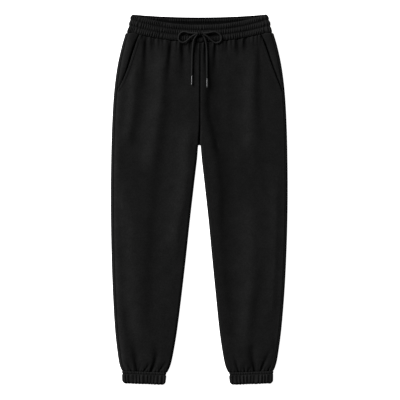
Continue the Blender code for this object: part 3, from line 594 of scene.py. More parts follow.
def store_painted_shading(made, values):
    """Painted light and shade on each point, for the finish: from -1, painted shade in a hollow, to 1, a
    painted highlight on a crest.
    """
    painted_shading = made.data.attributes.new("painted_shading", "FLOAT", "POINT")
    painted_shading.data.foreach_set("value", clip(values, -1.0, 1.0).astype(np.float32))


def finished(made, slot_name, finish, *others):
    made.data.materials.append(finish)
    made.data.shade_smooth()
    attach(made, "root")
    for other in others:
        made.data.materials.append(other)
    return made


def mesh_piece(name, points, faces, finish, slot_name):
    """points are in millimetres, x across, down the garment and z."""
    mesh = bpy.data.meshes.new(name)
    mesh.from_pydata(in_metres(*np.asarray(points).T).tolist(), [], faces)
    mesh.validate()
    made = bpy.data.objects.new(name, mesh)
    bpy.context.scene.collection.objects.link(made)
    turn_outwards(made)
    return finished(made, slot_name, finish)


def grid(name, columns, rows):
    """A flat grid, and the column and the row that each of its points is on."""
    made = started(name, bpy.ops.mesh.primitive_grid_add, x_subdivisions=columns, y_subdivisions=rows, size=2)
    flat = coordinates(made)
    column = np.rint((flat[:, 0] + 1) / 2 * columns).astype(int)
    return made, column, np.rint((1 - flat[:, 1]) / 2 * rows).astype(int)


# ---------------------------------------------------------------- sheets of cloth
def laid_sheet(name, laid, worked, turn_over, painted_shading=None):
    """A sheet of cloth with its wall: a grid is laid on the garment's form, thickened inwards, and its outer
    face worked. laid and worked are (rows, columns, 3) points in metres, and the last argument gives the
    painted light and shade there."""
    made, column, row = grid(name, laid.shape[1] - 1, laid.shape[0] - 1)
    set_coordinates(made, laid[row, column])
    if turn_over:
        made.data.flip_normals()
    only(made)
    wall = made.modifiers.new("wall", "SOLIDIFY")
    wall.thickness, wall.offset, wall.use_even_offset, wall.use_rim = CLOTH_THICKNESS * MM, -1.0, False, True
    bpy.ops.object.modifier_apply(modifier=wall.name)
    points, count = coordinates(made), len(row)
    outer, inner = worked[row, column], points[count:]
    out = unit(points[:count] - inner)
    short = maximum(LEAST_WALL * MM - ((outer - inner) * out).sum(1), 0.0)
    points[:count], points[count:] = outer, inner - out * short[:, None]
    set_coordinates(made, points)
    if painted_shading is not None:
        store_painted_shading(made, np.concatenate([painted_shading[row, column], np.zeros(len(points) - count)]))
    return made


def panel(kind, side, finish, rows, places, face, painted_shading):
    """One of a pair of panels: places gives where its points are along a row, face its laid and its worked
    form, and the last argument its painted light and shade."""
    along, row = np.array([places(side, row) for row in rows]), rows[:, None]
    laid, worked = face(side, row, along, False), face(side, row, along, True)
    made = laid_sheet(f"{kind}_{WORD[side]}_cloth", laid, worked, side < 0, painted_shading(side, row, along))
    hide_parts(f"{kind}_{WORD[side]}")
    return finished(made, "fleece", finish)


def waist_puff(below_waist):
    """How the gathered cloth stands out just below the waistband, against its fullest."""
    return smooth_step(0.0, 3.0, below_waist) * (1 - smooth_step(8.0, 34.0, below_waist))


def edge_turn(side, away):
    """How the front lies beside a side seam, at a distance from it."""
    if side < 0:
        return -SEAM_STEP * bell(away, 1.5)
    return SIDE_SWELL * bell(away - 2.4, 1.5) - SIDE_TURN * bell(away, 0.9)


def front_sewing(side, row, q, x, down):
    """What the sewing does to the height of a front panel's outer face."""
    away = pocket_edge(side, row) - q
    pocket = 1 - smooth_step(POCKET_BOTTOM - 5, POCKET_BOTTOM + 3, row)
    outer_line, inner_line = TOPSTITCH_IN
    lip = WELT_RISE * (1 - smooth_step(inner_line - 0.6, inner_line + 1.2, away)) - LIP_TURN * bell(away, 0.8)
    lip = lip - STITCH_SINK * (0.8 * bell(away - outer_line, 0.7) + bell(away - inner_line, 0.9))
    relief = pocket * lip + (1 - pocket) * edge_turn(side, away)
    below_waist, above_cuff = from_seams(row)
    gathers = ((WAIST_PUCKER, below_waist, 21), (CUFF_PUCKER, above_cuff, 22))
    for (depth, reach, spacing), seam_away, seed in gathers:
        relief = relief - depth * pucker(x, spacing, seed) * fading(seam_away, reach)
    relief = relief - SEAM_TURN * (0.25 * bell(below_waist, 1.8) + bell(above_cuff, 1.8))
    relief = relief + SEAM_PUFF * waist_puff(below_waist)
    open_cloth = smooth_step(6, 40, away) * smooth_step(0, 30, q - inseam(row))
    relief = relief + RIPPLE * ripples(x, down, 5) * open_cloth
    ditch = (1.1 if side < 0 else 0.9) * (1 + 1.2 * smooth_step(CROTCH - 80, CROTCH - 10, row))
    seam = CENTRE_SWELL * bell(q - 4.4, 1.8) * (side < 0) - CENTRE_DITCH * bell(q, ditch)
    return relief + (1 - turned(row)) * seam


def front_top(side, row, q):
    """Places (x, down, z) on a front panel's outer face as it is sewn."""
    x, down = place(side, row, q)
    return np.stack([x, down, front_height(side, row, q) + front_sewing(side, row, q, x, down)], 1)


def front_face(side, row, along, sewn):
    away, drop, angle = inner_turn(row, along)
    q = inseam(row) + away
    x, down = place(side, row, q)
    plateau, height = leg("loft", row), front_height(side, row, q)
    if sewn:
        height = height + front_sewing(side, row, q, x, down) - droop(away) * turned(row)
    x, z = tucked(side, row, x, plateau + (height - plateau) * cos(angle) - drop)
    return in_metres(x, down + centre_dip(x, row), z)


def front_painted_shading(side, row, along):
    # and along the pocket's edge
    # and the inseam, and on the wearer's right, which faces the lamp, a painted highlight along the side
    # painted light and shade: fold crests lighter, hollows darker, painted shade along the centre seam
    away = inner_turn(row, along)[0]
    q = inseam(row) + away
    x, down = place(side, row, q)
    seam = (1 - turned(row)) * bell(away, 1.6) + turned(row) * bell(away, 2.0)
    painted_lighting = SIDE_PAINTED_LIGHT * (1 - smooth_step(*SIDE_PAINTED_LIGHT_IN, leg("outer", row) - q))
    painted_lighting = painted_lighting + (1 - smooth_step(*MOUTH_PAINTED_LIGHT_IN, pocket_edge(side, row) - q)) * (row < POCKET_BOTTOM)
    return front_relief(x, down) / PAINTED_SHADING_HEIGHT - seam + painted_lighting * (side < 0)


def front_places(side, row):
    width = turn_width(row)
    gap = SEAM_GAP if row >= POCKET_BOTTOM else 0.0
    total = pocket_edge(side, row) - gap - inseam(row) - inner_turn(row, width)[0] + width
    return crowded(0.0, total, FRONT_COLUMNS, (0.0, total), 6.0, 2.4)


def back_face(side, row, along, sewn):
    """A back panel's outer face, at a length along the row from the side seam on the front, over the side
    fold and under along the floor."""
    radius, strip = leg("loft", row) / 2, side_strip(side, row)
    past_fold = along - strip - pi * radius
    angle = clip((along - strip) / radius, 0.0, pi)
    on_floor = past_fold > 0
    away, drop, _ = inner_turn(row, np.where(on_floor, floor_length(row) - past_fold, 0.0))
    over = leg("outer", row) - radius + radius * sin(angle)
    q = np.where(on_floor, inseam(row) + away, np.where(along < strip, side_seam(side, row) + along, over))
    z = np.where(on_floor, drop, radius + radius * cos(angle))
    x, down = place(side, row, q, np.where(z < radius, BACK_DROP, FRONT_DROP))
    flat_back = smooth_step(0.0, 12.0, past_fold)
    upper = (0.5 + 0.5 * cos(angle)) * (1 - flat_back)
    z = z - (side_fall(side, row, q) + SEAM_STEP * (side < 0)) * upper
    if sewn:
        below_waist, above_cuff = from_seams(row)
        relief = 0 * along if side < 0 else edge_turn(side, along)
        relief = relief - SEAM_TURN * (0.4 * bell(below_waist, 1.8) + bell(above_cuff, 1.8))
        gathers = 0.0
        for (depth, reach, _), seam_away in ((WAIST_PUCKER, below_waist), (CUFF_PUCKER, above_cuff)):
            gathers = gathers + BACK_PUCKER * depth * fading(seam_away, reach)
        gathers = gathers * pucker(x, WAIST_PUCKER[2], 23)
        pressed = fold_relief(BACK_FOLDS, x, down) - RIPPLE * (1 + ripples(x, down, 9)).clip(0)
        relief = relief * upper - gathers * np.abs(cos(angle)) + pressed * flat_back
        x = x + side * (relief + SIDE_FULLNESS[side]) * sin(angle)
        z = z + relief * cos(angle)
    x, z = tucked(side, row, x, z)
    return in_metres(x, down, z)


def back_painted_shading(side, row, along):
    # painted light on the side fold that faces the lamp, painted shade on the other, painted light on
    # the left fold's top where the waistband's shadow falls, and painted shade in the right side seam
    painted_lighting = FOLD_PAINTED_LIGHTING[side] + (TOP_PAINTED_LIGHT - FOLD_PAINTED_LIGHTING[side]) * (1 - smooth_step(66, 100, row)) * (side > 0)
    on_fold = along < side_strip(side, row) + leg("loft", row)
    return painted_lighting * on_fold - SEAM_SHADE * (side < 0) * bell(along, 1.7)


def back_places(side, row):
    strip, fold = side_strip(side, row), pi * leg("loft", row) / 2
    total = strip + fold + floor_length(row)
    return crowded(0.0, total, BACK_COLUMNS, (0.0, strip + fold / 2, total), 9.0, 3.0)


def facing_face(side, row, along, sewn):
    seam, edge = side_seam(side, row), pocket_edge(side, row)
    q = minimum(edge, seam) - FACING_OVERLAP + along
    shown = maximum(seam - edge, 0.1)
    sunk = maximum(1 - smooth_step(*FACING_RISE, shown), smooth_step(0, 1, (seam - q) / shown))
    x, down = place(side, row, q)
    z = leg("loft", row) - (FABRIC + 2 * SEAM_GAP) * sunk
    z = z - FACING_SLOPE * maximum(edge - q, 0.0) - side_fall(side, row, q)
    share = pocket_share(row)
    opened = (0.25 + 0.75 * smooth_step(0.0, 0.22, share)) * (1 - smooth_step(*CLOSING[side], share))
    gape = 0.5 + POCKET_GAPE[side] * opened
    z = maximum(z - POCKET_HOLLOW * (1 - smooth_step(0.0, 1.0, (q - edge) / gape)), HOLLOW_FLOOR)
    z = z + FACING_ROLL * sin(pi * clip((seam - q) / shown, 0.0, 1.0)) * smooth_step(4.0, 20.0, shown)
    if sewn:
        z = z + edge_turn(side, seam - q) + 0.7 * SEAM_PUFF * waist_puff(row - WAIST_SEAM)
        z = z + 0.5 * RIPPLE * ripples(x, down, 13) * smooth_step(0, 14, seam - q)
    x, z = tucked(side, row, x, z)
    return in_metres(x, down, z)


def facing_painted_shading(side, row, along):
    # its side seam, which faces the lamp
    # painted light and shade on the right hip piece: darker at the pocket's mouth, lighter towards
    return (1.8 * along / along.max(axis=1, keepdims=True) - 0.6) * (side < 0)


def facing_places(side, row):
    seam = side_seam(side, row) - SEAM_GAP
    total = seam - (min(pocket_edge(side, row), seam) - FACING_OVERLAP)
    return crowded(0.0, total, FACING_COLUMNS, (total,), 5.0, 2.0)


def centre_thread(finish):
    """The cord-like join of the front's centre seam, sunk between the two panels. Its near-black finish is
    painted shadow in the seam's groove.
    """
    rows = np.arange(WAIST_SEAM + 24.0, CROTCH - CROTCH_TURN, 1.2)
    x, down = place(1, rows, 0.0)
    z = front_height(1, rows, 0.0 * rows) - CENTRE_SINK
    points, faces = braided_tube(np.stack([x, down + centre_dip(x, rows), z], 1), CENTRE_THREAD / 2, 10, 4)
    return mesh_piece("centre_seam_join", points, faces, finish, "fleece")


def centre_allowance(finish):
    """The allowances of the front's centre seam, pressed open inside below the two panels."""
    rows = linspace(WAIST_SEAM, CROTCH - CROTCH_TURN, 80)[:, None]
    across = linspace(-ALLOWANCE, ALLOWANCE, 8)[None, :]
    x, down = place(1, rows, across)
    z = minimum(front_height(1, rows, np.abs(across)), leg("loft", rows)) - CLOTH_THICKNESS - ALLOWANCE_BELOW
    laid = in_metres(x, down + centre_dip(x, rows), z)
    return finished(laid_sheet("centre_seam_allowance", laid, laid, False), "fleece", finish)


# ---------------------------------------------------------------- elastic bands
def around_ring(count):
    return (np.arange(count) + 0.5) / count


def ring_point(half, loft_height, inset, around):
    """(x, z, normal x, normal z) on a flattened ring of that half width, inset from its outer face. around
    runs from 0 to 1 once round: over the top from -x to +x and back along the floor."""
    radius = loft_height / 2
    straight, fold = 2 * (half - radius), pi * radius
    along = around * 2 * (straight + fold)
    bent = clip(along, 0, fold / 2) + clip(along - fold / 2 - straight, 0, fold)
    angle = pi - (bent + clip(along - 1.5 * fold - 2 * straight, 0, fold / 2)) / radius
    over, back = clip(along - fold / 2, 0, straight), clip(along - 1.5 * fold - straight, 0, straight)
    centre = radius - half + over - back
    nx, nz = cos(angle), sin(angle)
    return centre + nx * (radius - inset), radius + nz * (radius - inset), nx, nz


def band_section(outer_rows, inner_rows, rim, wall, height):
    """One section of a ring's wall as (share of its height, depth below the outer face, 1 outside or 0
    inside): down the outer face, round the foot, up the inner face and round the top rim."""
    rim_share = rim / height
    outer = [(s, 0.0, 1.0) for s in linspace(rim_share, 1 - rim_share * 0.6, outer_rows)]
    foot = [(1.0, 0.3 * wall, 0.7), (1.0, 0.7 * wall, 0.3)]
    inner = [(s, wall, 0.0) for s in linspace(1 - rim_share * 0.6, rim_share, inner_rows)]
    top = []
    for turn in linspace(0, pi, 7)[1:-1]:
        across = 0.5 + 0.5 * cos(turn)
        top.append((rim_share * (1 - sin(turn)), wall * across, 1 - across))
    return np.array(outer + foot + inner + top).T[:, None, :]


def ring_cloth(name, points, skins=None, painted_shading=None):
    """A closed ring of cloth: a grid whose rows run round the ring and whose columns run round its wall's
    section, with its edges merged. points is (around, section, 3) in metres, skins each face's finish."""
    columns, rows = points.shape[:2]
    made, around, section = grid(name, columns, rows)
    around, section = around % columns, section % rows
    if skins is not None:
        for face in made.data.polygons:
            across, along = (face.center.x + 1) / 2 * columns, (1 - face.center.y) / 2 * rows
            face.material_index = int(skins[int(across), int(along)])
    set_coordinates(made, points[around, section])
    if painted_shading is not None:
        store_painted_shading(made, painted_shading[around, section])
    turn_outwards(made, merge=True)
    return made


def band_lines(x, up):
    """The shares of the waistband's height at which its two stitched lines lie."""
    front = clip(up, 0.0, 1.0) * (1 - minimum(np.abs(x) / DROP_REACH, 1.0) ** 2)
    return [side + (middle - side) * front for side, middle in zip(BAND_LINE_SIDE, BAND_LINE_FRONT)]


def band_relief(around, share, x, up, down):
    """How far the waistband's outer face stands out: three puffed channels with gathers across them."""
    first, second = band_lines(x, up)
    channel = 0.0
    for start, end, foot in ((0.0, first, 0.0), (first, second, 0.0), (second, 1.0, FOOT_PUFF)):
        inside = clip((share - start) / (end - start), 0.0, 1.0)
        rounded = maximum(sin(pi * inside) ** 0.8, foot * (inside > 0.5))
        channel = channel + rounded * ((share >= start) & ((share < end) | (foot > 0)))
    edge, front = 1 - up**2, up > 0
    channel = channel * (1 - 0.4 * edge) + 0.3 * edge
    slip = 0.5 * sin(TURN * 6 * around + 1.0) * smooth_step(-0.04, 0.04, share - first)
    slip = slip + 0.6 * sin(TURN * 8 * around + 4.0) * smooth_step(-0.04, 0.04, share - second)
    phase = uneven_phase(around, BAND_RIPPLES, 3) + slip + 0.35 * sin(TURN * 3 * around) * share
    depth = BAND_GATHER_DEPTH * (0.8 + 0.3 * sin(TURN * 11 * around + 9 * share))
    calm = bell(x - BUMP_AT[0], BUMP_SIZE[0]) * bell(down - BUMP_AT[1], BUMP_SIZE[1]) * front
    at_top = bell(share, 0.06) * (edge + 0.6 * (up < 0)).clip(0.0, 0.8)
    gathers = depth * (0.35 + 0.65 * channel) * (crest(phase) - 0.5) * (1 - 0.85 * calm) * (1 - at_top)
    relief = CHANNEL_PUFF * channel + gathers + BUMP_RISE * calm - RIM_ROLL * bell(share, 0.05)
    pressed = bell(down - KNOT_CENTRE[1], 3.2) * (1 - smooth_step(26.0, 34.0, np.abs(x - KNOT_CENTRE[0])))
    relief = relief - CORD_PRESS * pressed * front
    for hole_x, hole_down in EYELET_AT.values():
        away = np.hypot(x - hole_x, down - hole_down)
        relief = relief + (CHANNEL_PUFF + 0.5 - relief) * (1 - smooth_step(3.4, 7.5, away)) * front
        relief = relief - 3.2 * (1 - smooth_step(EYELET_HOLE - 0.6, EYELET_HOLE + 0.4, away)) * front
    return relief


def band_place(around, share, inset):
    half = curve(*zip(*BAND_OUTER), share) + BAND_FULLNESS
    x, z, nx, nz = ring_point(half, BAND_LOFT, inset, around)
    x = x + leg("centre", WAIST_SEAM)
    front = 0.5 + 0.5 * nz
    top = waist_drop(x, 0, BACK_DROP + (FRONT_TOP_DROP - BACK_DROP) * front) - BAND_RISE
    seam = waist_drop(x, 0, BACK_DROP + (FRONT_DROP - BACK_DROP) * front) + WAIST_SEAM - WAIST_GAP
    seam = seam + centre_dip(x, WAIST_SEAM) * clip(nz, 0.0, 1.0)
    return x, top + (seam - top) * share, z, nx, nz


def band_face(around, share, depth, outside):
    x, down, _, _, nz = band_place(around, share, BAND_BASE)
    relief = band_relief(around, share, x, nz, down)
    inside = 0.8 * (relief - CHANNEL_PUFF * 0.5)
    inset = BAND_BASE - relief * outside + inside * (1 - outside) + depth
    x, down, z, _, _ = band_place(around, share, inset)
    # painted light and shade: gathers' crests lighter and hollows darker, and painted highlights on
    # the rim and on the front half's two ends
    painted_lighting = RIM_PAINTED_LIGHT * bell(share, 0.05)
    for side, (light, start, end) in BAND_ENDS_PAINTED_LIGHT.items():
        painted_lighting = painted_lighting + light * smooth_step(start, end, side * x)
    painted_shading = (relief - 0.55 * CHANNEL_PUFF) / BAND_GATHER_DEPTH + painted_lighting * (nz > 0) * (outside > 0)
    return in_metres(x, down, z), painted_shading


def ring_piece(name, points, painted_shading, skins, finishes):
    made = ring_cloth(f"{name}_cloth", points, skins, painted_shading)
    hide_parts(name)
    return finished(made, "fleece", *finishes)


def waistband(*finishes):
    """Finishes are its own, the painted-shade one of its inside and the painted-shade one of its back rim."""
    outer_rows, inner_rows = BAND_ROWS
    section = band_section(outer_rows, inner_rows, BAND_RIM, BAND_WALL, WAIST_SEAM)
    points, painted_shading = band_face(around_ring(BAND_COLUMNS)[:, None], *section)
    # painted shade of the back half's rim
    # skin 1 is the painted shade of the inside, kept off the part that catches light; skin 2 is the
    skins, half = np.zeros(points.shape[:2], int), BAND_COLUMNS // 2
    inner_end = outer_rows + inner_rows
    skins[:, outer_rows + 1 : inner_end - 1] = 1
    lit_start, lit_end = (half + int(half * (0.5 + share)) for share in (-LIT_INSIDE, LIT_INSIDE))
    skins[lit_start:lit_end, inner_end - 2 : inner_end] = 0
    skins[half:, inner_end:] = 2
    return ring_piece("waistband", points, painted_shading, skins, finishes)


def cuff_place(side, around, share, inset):
    half = curve(*zip(*CUFF_OUTER), share) + CUFF_FULLNESS
    x, z, nx, nz = ring_point(half, CUFF_LOFT, inset, around)
    middle = leg("centre", CUFF_SEAM)
    x = x + middle + side * CUFF_CENTRE
    tilt = CUFF_TILT * (leg("outer", CUFF_SEAM) - side * (x - middle))
    return x, CUFF_SEAM + tilt + share * CUFF_HEIGHT, z, nx, nz


def cuff_relief(side, around, share):
    """Ribs of gathered cloth below a narrow stitched heading."""
    sway = 0.12 * sin(TURN * 4 * around + side) * share + 0.1 * sin(TURN * 7 * around + 2 * side)
    rib = crest(uneven_phase(around, CUFF_RIBS, 31 + side) + sway)
    rib = rib * (0.85 + 0.3 * sin(TURN * 5 * around + 3 * share + side))
    small = crest(uneven_phase(around, 2 * CUFF_RIBS + 3, 41 + side))
    head = 1 - smooth_step(CUFF_LINE - 0.03, CUFF_LINE + 0.03, share)
    ribs = CUFF_GATHER_DEPTH * (rib - 0.5) * smooth_step(CUFF_LINE, CUFF_LINE + 0.16, share)
    heading = 0.5 * CUFF_GATHER_DEPTH * (small - 0.5)
    return CUFF_PUFF - 1.0 * bell(share - CUFF_LINE, 0.045) + ribs * (1 - head) + heading * head


def cuff_face(side, around, share, depth, outside):
    relief = cuff_relief(side, around, share)
    _, _, _, right, up = cuff_place(side, around, share, CUFF_BASE)
    roll = CUFF_ROLL * smooth_step(0.85, 1.0, share) * clip(up, 0.0, 1.0)
    inset = CUFF_BASE - relief * outside + 0.4 * relief * (1 - outside) + depth + roll
    x, down, z, _, _ = cuff_place(side, around, share, inset)
    points = in_metres(x, down + 0.35 * relief * smooth_step(0.9, 1.0, share), z)
    # and on the left end, away from the lamp
    # painted light and shade: rib crests lighter, hollows darker, painted shade on the rolled foot
    shaded = CUFF_SHADE * smooth_step(0.1, 0.7, right)
    return points, (relief - 0.5 * CUFF_PUFF) / (0.5 * CUFF_GATHER_DEPTH) * outside - 0.3 * roll - shaded


def cuff(side, *finishes):
    """Finishes are its own and the painted-shade one of its inside."""
    outer_rows, inner_rows = CUFF_ROWS
    section = band_section(outer_rows, inner_rows, CUFF_RIM, CUFF_WALL, CUFF_HEIGHT)
    points, painted_shading = cuff_face(side, around_ring(CUFF_COLUMNS)[:, None], *section)
    skins = np.zeros(points.shape[:2], int)
    skins[:, outer_rows + 1 : outer_rows + inner_rows + 2] = 1
    return ring_piece(f"cuff_{WORD[side]}", points, painted_shading, skins, finishes)


# ---------------------------------------------------------------- tubes: drawstring and knot
def smooth_route(points, step):
    """Points step apart, in millimetres, on a smooth curve through a route's points."""
    points = np.asarray(points, float)
    fine = []
    for i in range(len(points) - 1):
        before, after = points[max(i - 1, 0)], points[min(i + 2, len(points) - 1)]
        start, end = points[i], points[i + 1]
        for share in linspace(0, 1, 24, endpoint=False):
            fine.append(swept(share, start, (end - before) / 2, end, (after - start) / 2))
    fine = np.array(fine + [points[-1]])
    passed = passed_along(fine)
    at = linspace(0.0, passed[-1], max(2, round(passed[-1] / step)) + 1)
    return np.stack([np.interp(at, passed, fine[:, k]) for k in range(3)], axis=1)


def braided_tube(line, radius, sides, strands, closed=False):
    """(points, faces) of a braided cord along a line, in millimetres. Its free end is squeezed in."""
    heading = unit(np.roll(line, -1, 0) - np.roll(line, 1, 0) if closed else np.gradient(line, axis=0))
    first, side = [], np.cross(heading[0], (0.0, 0.0, 1.0))
    for h in heading:
        side = unit(side - h * (side @ h))
        first.append(side)
    second = np.cross(heading, first)
    passed = passed_along(line)
    around = np.arange(sides) / sides * TURN
    lay, across = TURN / (BRAID_LAY * radius) * passed[:, None], strands / 2 * around[None, :]
    over = maximum(np.abs(cos(across + lay)), np.abs(cos(across - lay)))
    reach = radius * (BRAID_CORE + BRAID_RISE * over)
    if not closed:
        reach = reach * (1 - PINCH * smooth_step(passed[-1] - PINCH_LENGTH, passed[-1], passed))[:, None]
    first, second = np.array(first)[:, None, :], second[:, None, :]
    out = cos(around)[None, :, None] * first + sin(around)[None, :, None] * second
    points = (line[:, None, :] + reach[:, :, None] * out).reshape(-1, 3)
    count, ring = len(line), np.arange(sides)
    near = np.arange(count if closed else count - 1)[:, None] * sides
    far, beside = (near + sides) % (count * sides), (ring + 1) % sides
    faces = np.stack([near + ring, near + beside, far + beside, far + ring], axis=-1).reshape(-1, 4).tolist()
    if not closed:
        points = np.concatenate([points, line[:1] - heading[:1] * 0.3, line[-1:] + heading[-1:] * 0.3])
        start, end, last = len(points) - 2, len(points) - 1, (count - 1) * sides
        faces += [[(k + 1) % sides, k, start] for k in range(sides)]
        faces += [[last + k, last + (k + 1) % sides, end] for k in range(sides)]
    return points, faces


def cloth_top(x, down):
    """Height of the garment's upper face round a place, where a strand of the drawstring lies on it."""
    waist = WAIST_SEAM + waist_drop(x, WAIST_SEAM, FRONT_DROP)
    if down < waist + CORD_DIAMETER / 2:
        return BAND_LOFT
    side = 1 if x > 0 else -1
    highest = 0.0
    for aside in (-CORD_DIAMETER / 2, 0.0, CORD_DIAMETER / 2):
        for along in (-6.0, 0.0, 6.0):
            near, row = x + aside, down + along
            for _ in range(4):
                row = down + along - waist_drop(near, row, FRONT_DROP)
            row = max(float(row), WAIST_SEAM)
            q = abs(near - leg("centre", row))
            height = front_height(side, row, q) + front_sewing(side, row, q, near, down + along)
            highest = max(highest, float(height))
    draped = smooth_step(waist + CORD_DIAMETER / 2, waist + DRAPE_REACH, down)
    return BAND_LOFT + (highest - BAND_LOFT) * float(draped)


def strand_places(strand):
    return [(x, down, cloth_top(x, down) + CORD_DIAMETER / 2 + CORD_LIFT + lift) for x, down, lift in strand]


def knot_places(side, turn):
    height = BAND_LOFT + CORD_DIAMETER / 2 + CORD_LIFT
    return [(KNOT_CENTRE[0] + side * out, down, height + lift) for out, down, lift in turn]


def cord_half(side, finish):
    """One half of the drawstring: out of its eyelet, into the knot, round its loop, back through the knot and
    down its tail into the aglet."""
    (hole_x, hole_down), (lead, loop, tail) = EYELET_AT[side], STRANDS[side]
    inside = [(hole_x + side * out, hole_down, BAND_LOFT - deep) for out, deep in CORD_INSIDE]
    first_turn, second_turn = (knot_places(side, turn) for turn in KNOT_TURNS)
    places = inside + strand_places(lead) + first_turn + strand_places(loop) + second_turn
    line = smooth_route(places + strand_places(tail), CORD_STEP)
    points, faces = braided_tube(line, CORD_DIAMETER / 2, CORD_SIDES, CORD_STRANDS)
    made = mesh_piece(f"drawstring_{WORD[side]}", points, faces, finish, "cord")
    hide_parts(*(f"drawstring_{part}_{WORD[side]}" for part in ("lead", "loop", "tail")))
    return made, line


def knot(finish):
    """The wraps of the bow's knot, each a turn of the cord over the strands that it holds."""
    points, faces = [], []
    turn = linspace(0, TURN, WRAP_POINTS, endpoint=False)
    for out, lean, wide, high in KNOT_WRAPS:
        x, down = KNOT_CENTRE[0] + out + lean * sin(turn), KNOT_CENTRE[1] + wide * sin(turn)
        z = BAND_LOFT + CORD_LIFT + CORD_DIAMETER / 2 + high + high * cos(turn)
        line = np.stack([x, down, z], 1)
        wrap, wrap_faces = braided_tube(line, CORD_DIAMETER / 2, CORD_SIDES, CORD_STRANDS, closed=True)
        faces += [[len(points) * len(wrap) + i for i in face] for face in wrap_faces]
        points.append(wrap)
    made = mesh_piece("bow_knot_wraps", np.concatenate(points), faces, finish, "cord")
    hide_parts("bow_knot")
    return made


# ---------------------------------------------------------------- aglets, eyelets and stitches
def aglet(word, line, finish):
    """A turned metal tip that follows a tail's end, crimped on the cord."""
    run = line[-1] - line[-6]
    forward = Vector((run[0], -run[1], 0.0)).normalized()
    node_low, node_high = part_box(f"aglet_{word}")
    centre = np.array((node_low + node_high) / 2)
    centre[0] = line[-1][0] * MM
    mouth = {"vertices": AGLET_SIDES, "radius": AGLET_PROFILE[0][1] * MM, "location": (0, 0, 0)}
    made = started(f"aglet_{word}_tip", bpy.ops.mesh.primitive_circle_add, **mouth)
    bpy.ops.object.mode_set(mode="EDIT")
    bpy.ops.mesh.select_all(action="SELECT")
    for (before, wide), (after, narrow) in zip(AGLET_PROFILE, AGLET_PROFILE[1:]):
        bpy.ops.mesh.extrude_region_move(TRANSFORM_OT_translate={"value": (0, 0, (after - before) * MM)})
        bpy.ops.transform.resize(value=(narrow / wide, narrow / wide, 1), center_override=(0, 0, after * MM))
    bpy.ops.mesh.edge_face_add()
    bpy.ops.object.mode_set(mode="OBJECT")
    turn_outwards(made)
    points = coordinates(made)
    angle = np.arctan2(points[:, 1], points[:, 0])
    crimp = bell(points[:, 2] / MM - CRIMP_AT, CRIMP_WIDTH) * bell(np.abs(sin(angle)), 0.35)
    points[:, :2] *= (1 - CRIMP_DEPTH * crimp)[:, None]
    turn = np.array(forward.to_track_quat("Z", "Y").to_matrix())
    set_coordinates(made, points @ turn.T + centre - np.array(forward) * AGLET_LENGTH / 2 * MM)
    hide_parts(f"aglet_{word}")
    return finished(made, "aglet", finish)


def eyelet(side, finish):
    """A thread-bound hole where the cord leaves the waistband: a ring wound with satin stitches."""
    hole_x, hole_down = EYELET_AT[side]
    turn = linspace(0, TURN, EYELET_POINTS, endpoint=False)[:, None]
    round_it = linspace(0, TURN, EYELET_SIDES, endpoint=False)[None, :]
    winding = EYELET_RING * (0.86 + 0.14 * np.abs(cos(EYELET_WINDINGS * turn)))
    reach = EYELET_HOLE + EYELET_RING + winding * cos(round_it)
    z = BAND_LOFT - EYELET_BELOW + 0.7 * winding * sin(round_it)
    points = in_metres(hole_x + reach * cos(turn), hole_down + reach * sin(turn), z)
    made = ring_cloth(f"eyelet_{WORD[side]}", points)
    return finished(made, "cord", finish)


def one_stitch():
    """One stitch of thread, 1 long, as (points, faces)."""
    made = started("stitch", bpy.ops.mesh.primitive_uv_sphere_add, segments=6, ring_count=5, radius=0.5)
    points = coordinates(made)[:, [2, 0, 1]]
    mesh = made.data
    faces = [list(p.vertices) for p in mesh.polygons]
    bpy.data.objects.remove(made)
    bpy.data.meshes.remove(mesh)
    return points, faces


def stitches(name, line, normals, finish):
    """A line of stitches along a line of places (x, down, z) on the cloth, in one mesh."""
    passed = passed_along(line)
    centres = np.arange(STITCH_PITCH / 2, passed[-1], STITCH_PITCH)

    def at(values, where):
        return np.stack([np.interp(where, passed, values[:, k]) for k in range(3)], axis=1)

    along = unit(at(line, centres + STITCH_LENGTH / 2) - at(line, centres - STITCH_LENGTH / 2))
    up = at(normals, centres)
    up = unit(up - along * (up * along).sum(1)[:, None])
    shape, shape_faces = STITCH_SHAPE
    forward, aside, lift = (shape * (STITCH_LENGTH, THREAD * 1.5, THREAD * 1.2)).T[:, None, :, None]
    lift = lift + THREAD * (0.35 - 2 * shape[None, :, :1] ** 2)
    points = at(line, centres)[:, None] + forward * along[:, None] + aside * np.cross(along, up)[:, None]
    points = (points + lift * up[:, None]).reshape(-1, 3)
    faces = [[k * len(shape) + i for i in face] for k in range(len(centres)) for face in shape_faces]
    return mesh_piece(name, points, faces, finish, "fleece")


def pocket_stitches(side, finish):
    rows = linspace(WAIST_SEAM + 2.0, POCKET_BOTTOM - 2.0, 220)
    up = np.tile((0.0, 0.0, 1.0), (len(rows), 1))
    made = []
    for count, inwards in enumerate(TOPSTITCH_IN):
        line = front_top(side, rows, pocket_edge(side, rows) - inwards)
        made.append(stitches(f"pocket_stitches_{WORD[side]}_{count + 1}", line, up, finish))
    return made


def bar_tack(side, finish):
    """The dense zigzag that closes the foot of a pocket's mouth."""
    count = np.arange(TACK_TURNS)
    row = POCKET_BOTTOM - TACK_UP + TACK_LENGTH * (count / TACK_TURNS - 0.5)
    q = pocket_edge(side, row) - TACK_IN + TACK_WIDTH * (count % 2 - 0.5)
    line = smooth_route(front_top(side, row, q) + (0.0, 0.0, THREAD * 0.4), 0.3)
    points, faces = braided_tube(line, THREAD * 0.55, 6, 4)
    return mesh_piece(f"pocket_tack_{WORD[side]}", points, faces, finish, "fleece")


def ring_stitches(name, line, finish):
    """Stitches round an elastic band, along places with their normals as a band's own function gives them."""
    x, down, z, nx, nz = line
    return stitches(name, np.stack([x, down, z], 1), np.stack([nx, 0 * nx, nz], 1), finish)


